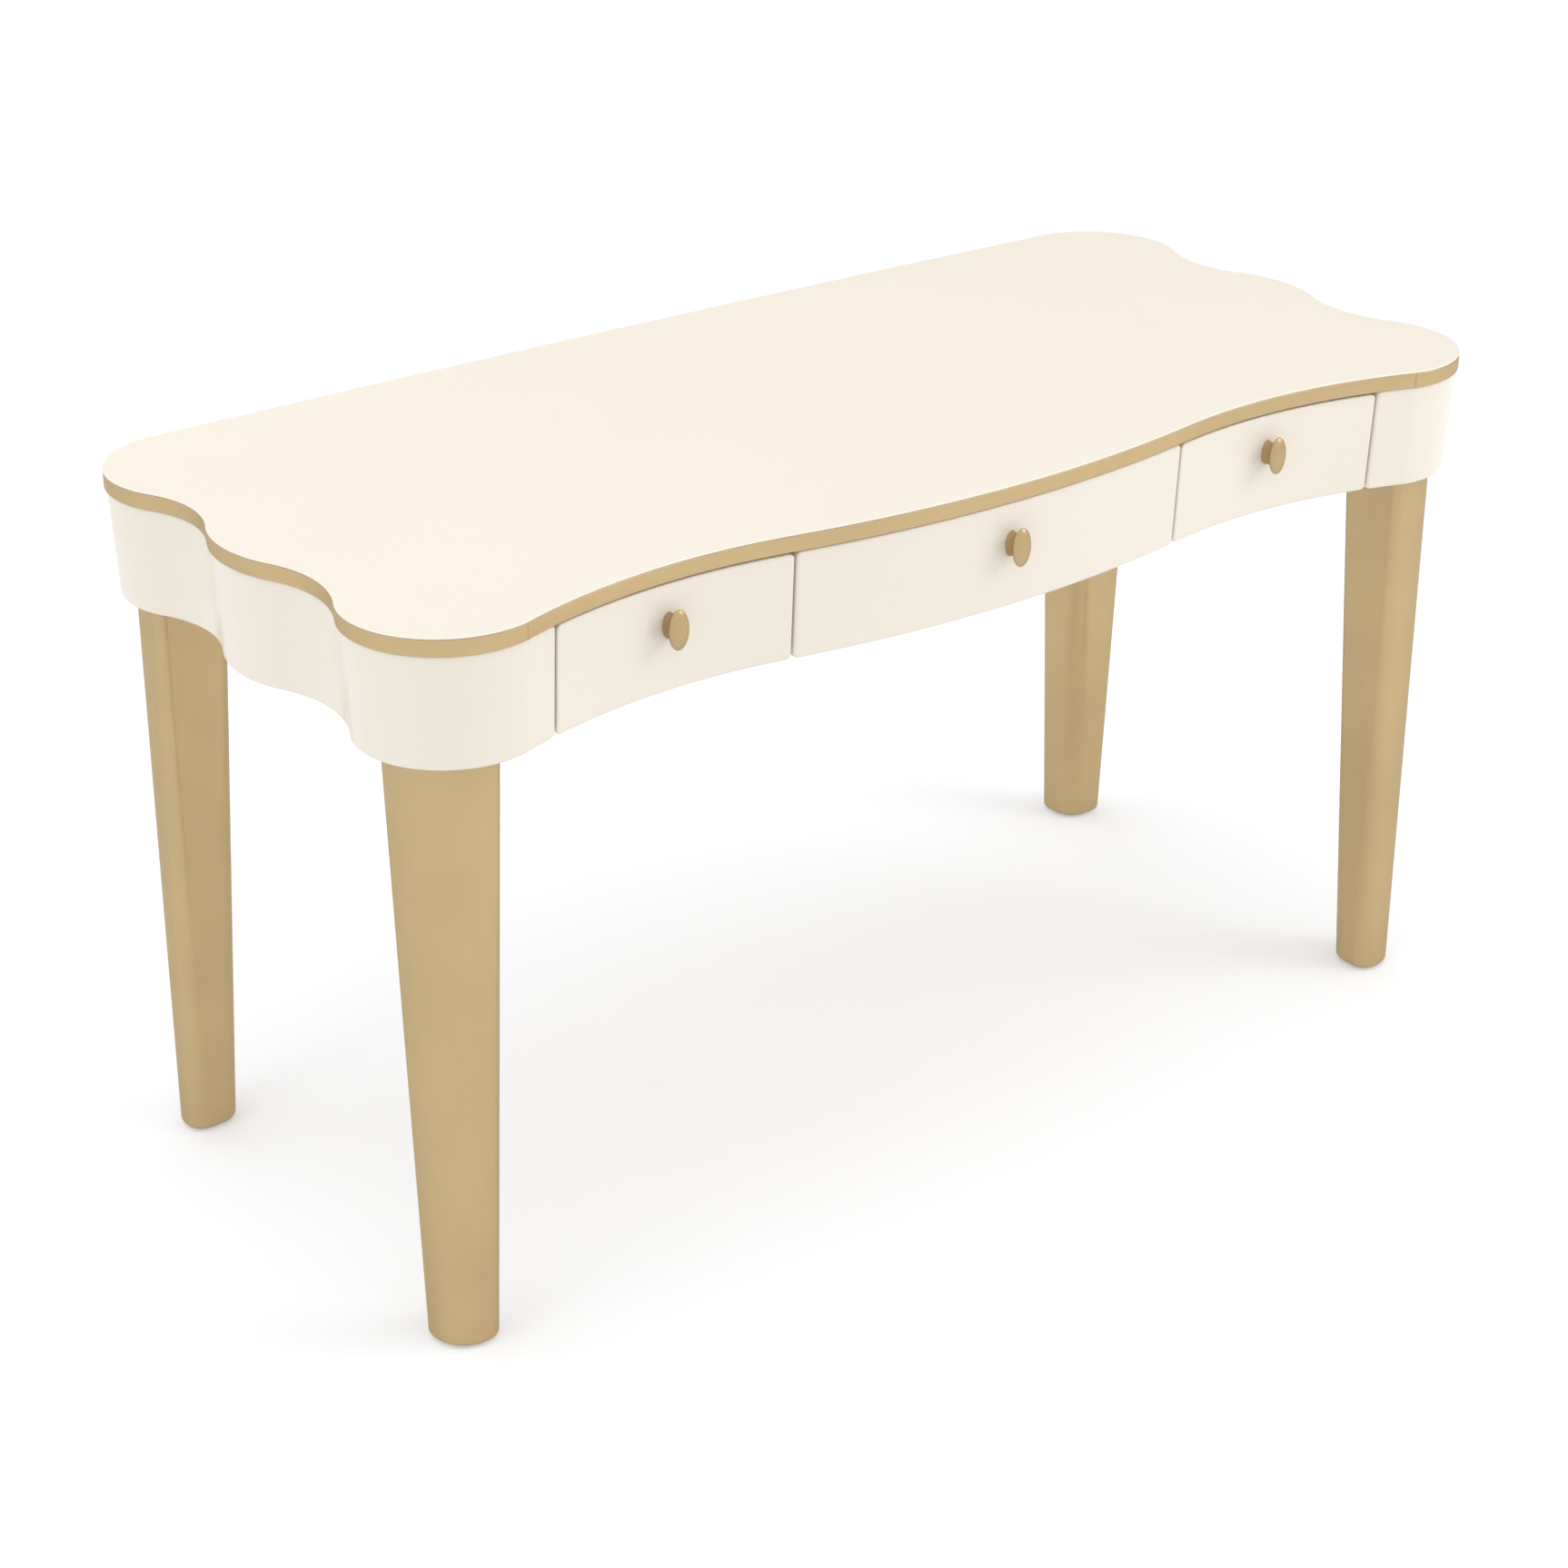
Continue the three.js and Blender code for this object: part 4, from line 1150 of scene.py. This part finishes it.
def build_knobs():
    for name in DRAWERS:
        node = f"{name}_drawer_knob"
        low, high = box(node)
        profile = knob_profile((high.z - low.z) / 2, high.y - low.y)
        piece = turned(f"{name}_oval_knob", profile, finish("knob_gold"), 72)
        narrow = Matrix.Diagonal(((high.x - low.x) / (high.z - low.z), 1, 1, 1))
        place = Matrix.Translation(((low.x + high.x) / 2, high.y, (low.z + high.z) / 2))
        piece.data.transform(place @ Matrix.Rotation(QUARTER, 4, "X") @ narrow)
        attach(piece, f"{name}_drawer", "champagne_metal", node)
        build_knob_screw(name)


def build_knob_screw(name):
    """A machine screw with a threaded shank and a domed, recessed head."""
    node = f"{name}_knob_screw"
    low, high = box(node)
    head = (high.z - low.z) / 2
    shank = 0.45 * head
    root = shank * 0.86
    total = high.y - low.y
    neck = total - 0.0025
    pitch = 0.0008
    thread = []
    for i in range(int(neck / pitch)):
        thread += [(root, i * pitch), (shank, (i + 0.5) * pitch)]
    underside = [(root, neck), (head * 0.94, neck), (head, neck + 0.0006)]
    dome = [(head * 0.86, neck + 0.0019), (head * 0.5, total), (head * 0.34, total)]
    recess = [(head * 0.22, total - 0.0014), (0, total - 0.0016)]
    profile = [(0, 0), *thread, *underside, *dome, *recess]
    piece = turned(f"{name}_knob_fixing", profile, finish("zinc"), 28)
    place = Matrix.Translation(((low.x + high.x) / 2, low.y, (low.z + high.z) / 2))
    piece.data.transform(place @ Matrix.Rotation(-QUARTER, 4, "X"))
    attach(piece, f"{name}_drawer", "zinc_steel", node)


def slide_nodes():
    """Each slide's side of its drawer, its CAD node and the body that it is fixed to."""
    for name in DRAWERS:
        for side in SIDES:
            yield side, f"{name}_drawer_{side}_slide_rail", FRAME_BODY
            yield side, f"{name}_drawer_{side}_runner", f"{name}_drawer"


def race_lines():
    """A line for each race of balls, above and below each runner."""
    h = bpy.context.scene.vanity_hardware
    for name in DRAWERS:
        for side in SIDES:
            rail_low, rail_high = box(f"{name}_drawer_{side}_slide_rail")
            runner_low, runner_high = box(f"{name}_drawer_{side}_runner")
            x = (min(rail_high.x, runner_high.x) + max(rail_low.x, runner_low.x)) / 2
            inset = (rail_high.z - h.slide_wall - runner_high.z) / 2
            for z in (runner_high.z + inset, runner_low.z - inset):
                yield (x, rail_low.y + 0.02, z), (x, (rail_low.y + rail_high.y) / 2, z)


def build_slides():
    for _, node, body in slide_nodes():
        attach(eased(node, "rolled", 0.00025, finish("zinc")), body, "zinc_steel", node)
    h = bpy.context.scene.vanity_hardware
    vertices = [end for line in race_lines() for end in line]
    edges = [(i, i + 1) for i in range(0, len(vertices), 2)]
    inputs = {"Radius": h.ball_radius, "Spacing": h.ball_spacing, "Material": finish("balls")}
    grow("slide_ball_races", ball_tree(), vertices, edges, None, inputs, FRAME_BODY, "zinc_steel")


def slide_screws(body):
    """Places and axes of the screws in the webs of the slides on one body."""
    wall = bpy.context.scene.vanity_hardware.slide_wall
    for side, node, owner in slide_nodes():
        if owner != body:
            continue
        low, high = box(node)
        web_at_low = (side == "left") == node.endswith("rail")
        x = low.x + wall if web_at_low else high.x - wall
        for share in (0.1, 0.5, 0.9):
            y = low.y + (high.y - low.y) * share
            yield (x, y, (low.z + high.z) / 2), (1 if web_at_low else -1, 0, 0)


def frame_screws():
    """Places and axes of the screws up into the rails and through the inner sides."""
    for node in ("front_rail", "back_rail"):
        low, high = box(node)
        for x in spread(low.x + 0.05, high.x - 0.05, 7):
            yield (x, (low.y + high.y) / 2, low.z), (0, 0, -1)
    for side in SIDES:
        inner = box(f"{side}_inner_side")
        for row in ROWS:
            low, high = box(f"{side}_{row}_corner_block")
            x = inner[0].x if side == "right" else inner[1].x
            for share in (0.25, 0.75):
                y = low.y + (high.y - low.y) * share
                yield (x, y, inner[1].z - 0.012), (-1 if side == "right" else 1, 0, 0)


def box_screws(name):
    """Places and axes of the screws through a drawer's sides into its back."""
    back = box(f"{name}_drawer_back")
    for side in SIDES:
        low, high = box(f"{name}_drawer_{side}_side")
        outward = -1 if side == "left" else 1
        x = low.x if side == "left" else high.x
        for share in (0.15, 0.85):
            z = back[0].z + (back[1].z - back[0].z) * share
            yield (x, (back[0].y + back[1].y) / 2, z), (outward, 0, 0)


def cam_places(name):
    """Places and axes of the cam locks that hold a drawer's front to its sides."""
    for side in SIDES:
        low, high = box(f"{name}_drawer_{side}_side")
        x, inward = (high.x, 1) if side == "left" else (low.x, -1)
        for share in (0.25, 0.75):
            z = low.z + (high.z - low.z) * share
            yield (x, low.y + 0.030, z), (inward, 0, 0)


def build_fasteners():
    h = bpy.context.scene.vanity_hardware
    screws, cams = screw_tree(), cam_tree()
    shared = {"Seed": h.seed, "Material": finish("zinc")}
    screw_inputs = {"Radius": h.screw_radius, "Dome": h.screw_dome, **shared}
    cam_inputs = {"Radius": h.cam_radius, "Proud": h.cam_proud, **shared}
    sets = {"frame": (FRAME_BODY, [*slide_screws(FRAME_BODY), *frame_screws()])}
    for name in DRAWERS:
        body = f"{name}_drawer"
        sets[name] = (body, [*slide_screws(body), *box_screws(name)])
    for label, (body, places) in sets.items():
        points, axes = zip(*places)
        grow(f"{label}_screws", screws, points, [], axes, screw_inputs, body, "zinc_steel")
    for name in DRAWERS:
        points, axes = zip(*cam_places(name))
        body = f"{name}_drawer"
        grow(f"{name}_cam_locks", cams, points, [], axes, cam_inputs, body, "zinc_steel")


# ---------- Stage ----------
LIGHTS = {  # place, width and tint; each one's power is a setting
    "key": ((2.6, -2.4, 2.6), 2.0, (1.0, 0.985, 0.96)),
    "overhead": ((-0.3, 0.3, 3.4), 2.6, WHITE),
    "fill": ((-3.4, -0.4, 1.9), 1.6, (1.0, 0.995, 0.98)),
}
LIT_POINT = (0, 0, 0.5)
FLAG_DIRECTION = (0.85, 0.5, -0.15)
FLAG_EDGES = (0.55, 0.9)  # where the flag's shade starts and is full


def build_floor():
    half = bpy.context.scene.vanity_stage.floor_size / 2
    mesh = bpy.data.meshes.new("floor")
    corners = [(-half, -half, 0), (half, -half, 0), (half, half, 0), (-half, half, 0)]
    mesh.from_pydata(corners, [], [(0, 1, 2, 3)])
    mesh.materials.append(finish("floor"))
    floor = bpy.data.objects.new("floor", mesh)
    bpy.context.scene.collection.objects.link(floor)


def build_sky():
    """Even light from all round, with a dark flag on one side."""
    s = bpy.context.scene.vanity_stage
    world = bpy.data.worlds.new("soft studio")
    world.use_nodes = True
    bpy.context.scene.world = world
    nodes, links = world.node_tree.nodes, world.node_tree.links
    sky = nodes["Background"]
    sky.inputs["Strength"].default_value = s.sky
    place = nodes.new("ShaderNodeTexCoord")
    towards = nodes.new("ShaderNodeVectorMath")
    towards.operation = "DOT_PRODUCT"
    towards.inputs[1].default_value = Vector(FLAG_DIRECTION).normalized()
    ramp = nodes.new("ShaderNodeValToRGB")
    ramp.color_ramp.interpolation = "EASE"
    tones = (1.0, s.flag)
    for element, position, tone in zip(ramp.color_ramp.elements, FLAG_EDGES, tones):
        element.position = position
        element.color = (tone, tone, tone, 1)
    links.new(place.outputs["Generated"], towards.inputs[0])
    links.new(towards.outputs["Value"], ramp.inputs["Fac"])
    links.new(ramp.outputs["Color"], sky.inputs["Color"])


def build_light(name, place, width, tint):
    data = bpy.data.lights.new(name, "AREA")
    data.shape = "DISK"
    data.size = width
    data.energy = getattr(bpy.context.scene.vanity_stage, name)
    data.color = tint
    lamp = bpy.data.objects.new(name, data)
    lamp.location = place
    towards = Vector(LIT_POINT) - Vector(place)
    lamp.rotation_euler = towards.to_track_quat("-Z", "Y").to_euler()
    bpy.context.scene.collection.objects.link(lamp)


def build_camera():
    s = bpy.context.scene.vanity_stage
    back = Vector((
        math.sin(s.azimuth) * math.cos(s.elevation),
        -math.cos(s.azimuth) * math.cos(s.elevation),
        math.sin(s.elevation),
    ))
    level = Vector((math.cos(s.azimuth), math.sin(s.azimuth), 0))
    upright = back.cross(level)
    right = level * math.cos(s.roll) + upright * math.sin(s.roll)
    up = upright * math.cos(s.roll) - level * math.sin(s.roll)
    data = bpy.data.cameras.new("camera")
    data.lens = s.lens
    data.sensor_width = 36.0
    data.clip_end = 100
    camera = bpy.data.objects.new("camera", data)
    turn = Matrix((right, up, back)).transposed().to_4x4()
    camera.matrix_world = Matrix.Translation(s.camera_place) @ turn
    bpy.context.scene.collection.objects.link(camera)
    bpy.context.scene.camera = camera


def build_stage():
    bpy.context.scene.view_settings.view_transform = "Standard"
    build_floor()
    build_sky()
    for name, (place, width, tint) in LIGHTS.items():
        build_light(name, place, width, tint)
    build_camera()


# ---------- Operators, panel and registration ----------
class VANITY_OT_top(bpy.types.Operator):
    """Builds the scalloped top"""

    bl_idname = "vanity.top"
    bl_label = "Scalloped Top"

    def execute(self, context):
        build_top()
        return {"FINISHED"}


class VANITY_OT_band(bpy.types.Operator):
    """Builds the gilt band under the top's lip"""

    bl_idname = "vanity.band"
    bl_label = "Gilt Band"

    def execute(self, context):
        build_band()
        return {"FINISHED"}


class VANITY_OT_aprons(bpy.types.Operator):
    """Builds the curved aprons"""

    bl_idname = "vanity.aprons"
    bl_label = "Aprons"

    def execute(self, context):
        build_aprons()
        return {"FINISHED"}


class VANITY_OT_legs(bpy.types.Operator):
    """Builds the tapered legs and their glides"""

    bl_idname = "vanity.legs"
    bl_label = "Legs"

    def execute(self, context):
        build_legs()
        return {"FINISHED"}


class VANITY_OT_frame(bpy.types.Operator):
    """Builds the rails, dividers, inner sides and corner blocks"""

    bl_idname = "vanity.frame"
    bl_label = "Inner Frame"

    def execute(self, context):
        build_frame()
        return {"FINISHED"}


class VANITY_OT_drawers(bpy.types.Operator):
    """Builds the drawers' curved fronts and their boxes"""

    bl_idname = "vanity.drawers"
    bl_label = "Drawers"

    def execute(self, context):
        build_drawers()
        return {"FINISHED"}


class VANITY_OT_knobs(bpy.types.Operator):
    """Builds the oval knobs and their screws"""

    bl_idname = "vanity.knobs"
    bl_label = "Knobs"

    def execute(self, context):
        build_knobs()
        return {"FINISHED"}


class VANITY_OT_slides(bpy.types.Operator):
    """Builds the drawers' slides and their balls"""

    bl_idname = "vanity.slides"
    bl_label = "Drawer Slides"

    def execute(self, context):
        build_slides()
        return {"FINISHED"}


class VANITY_OT_fasteners(bpy.types.Operator):
    """Builds the screws and cam locks"""

    bl_idname = "vanity.fasteners"
    bl_label = "Screws and Cam Locks"

    def execute(self, context):
        build_fasteners()
        return {"FINISHED"}


class VANITY_OT_stage(bpy.types.Operator):
    """Builds the floor, lights and camera"""

    bl_idname = "vanity.stage"
    bl_label = "Stage"

    def execute(self, context):
        build_stage()
        return {"FINISHED"}


OPERATORS = (
    VANITY_OT_top,
    VANITY_OT_band,
    VANITY_OT_aprons,
    VANITY_OT_legs,
    VANITY_OT_frame,
    VANITY_OT_drawers,
    VANITY_OT_knobs,
    VANITY_OT_slides,
    VANITY_OT_fasteners,
    VANITY_OT_stage,
)


class VANITY_PT_pieces(bpy.types.Panel):
    """Lists the table's pieces"""

    bl_label = "Vanity Table"
    bl_space_type = "VIEW_3D"
    bl_region_type = "UI"
    bl_category = "Vanity Table"

    def draw(self, context):
        for operator in OPERATORS:
            self.layout.operator(operator.bl_idname)
        for name, group in SETTINGS.items():
            group_box = self.layout.box()
            group_box.label(text=group.__name__.replace("Settings", ""))
            for key in group.__annotations__:
                group_box.prop(getattr(context.scene, name), key)


CLASSES = (*SETTINGS.values(), *OPERATORS, VANITY_PT_pieces)


def register():
    for cls in CLASSES:
        bpy.utils.register_class(cls)
    for name, group in SETTINGS.items():
        setattr(bpy.types.Scene, name, PointerProperty(type=group))


def unregister():
    for name in SETTINGS:
        delattr(bpy.types.Scene, name)
    for cls in reversed(CLASSES):
        bpy.utils.unregister_class(cls)


def main():
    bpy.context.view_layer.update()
    register()
    for operator in OPERATORS:
        group, name = operator.bl_idname.split(".")
        getattr(getattr(bpy.ops, group), name)()


if __name__ == "__main__":
    main()
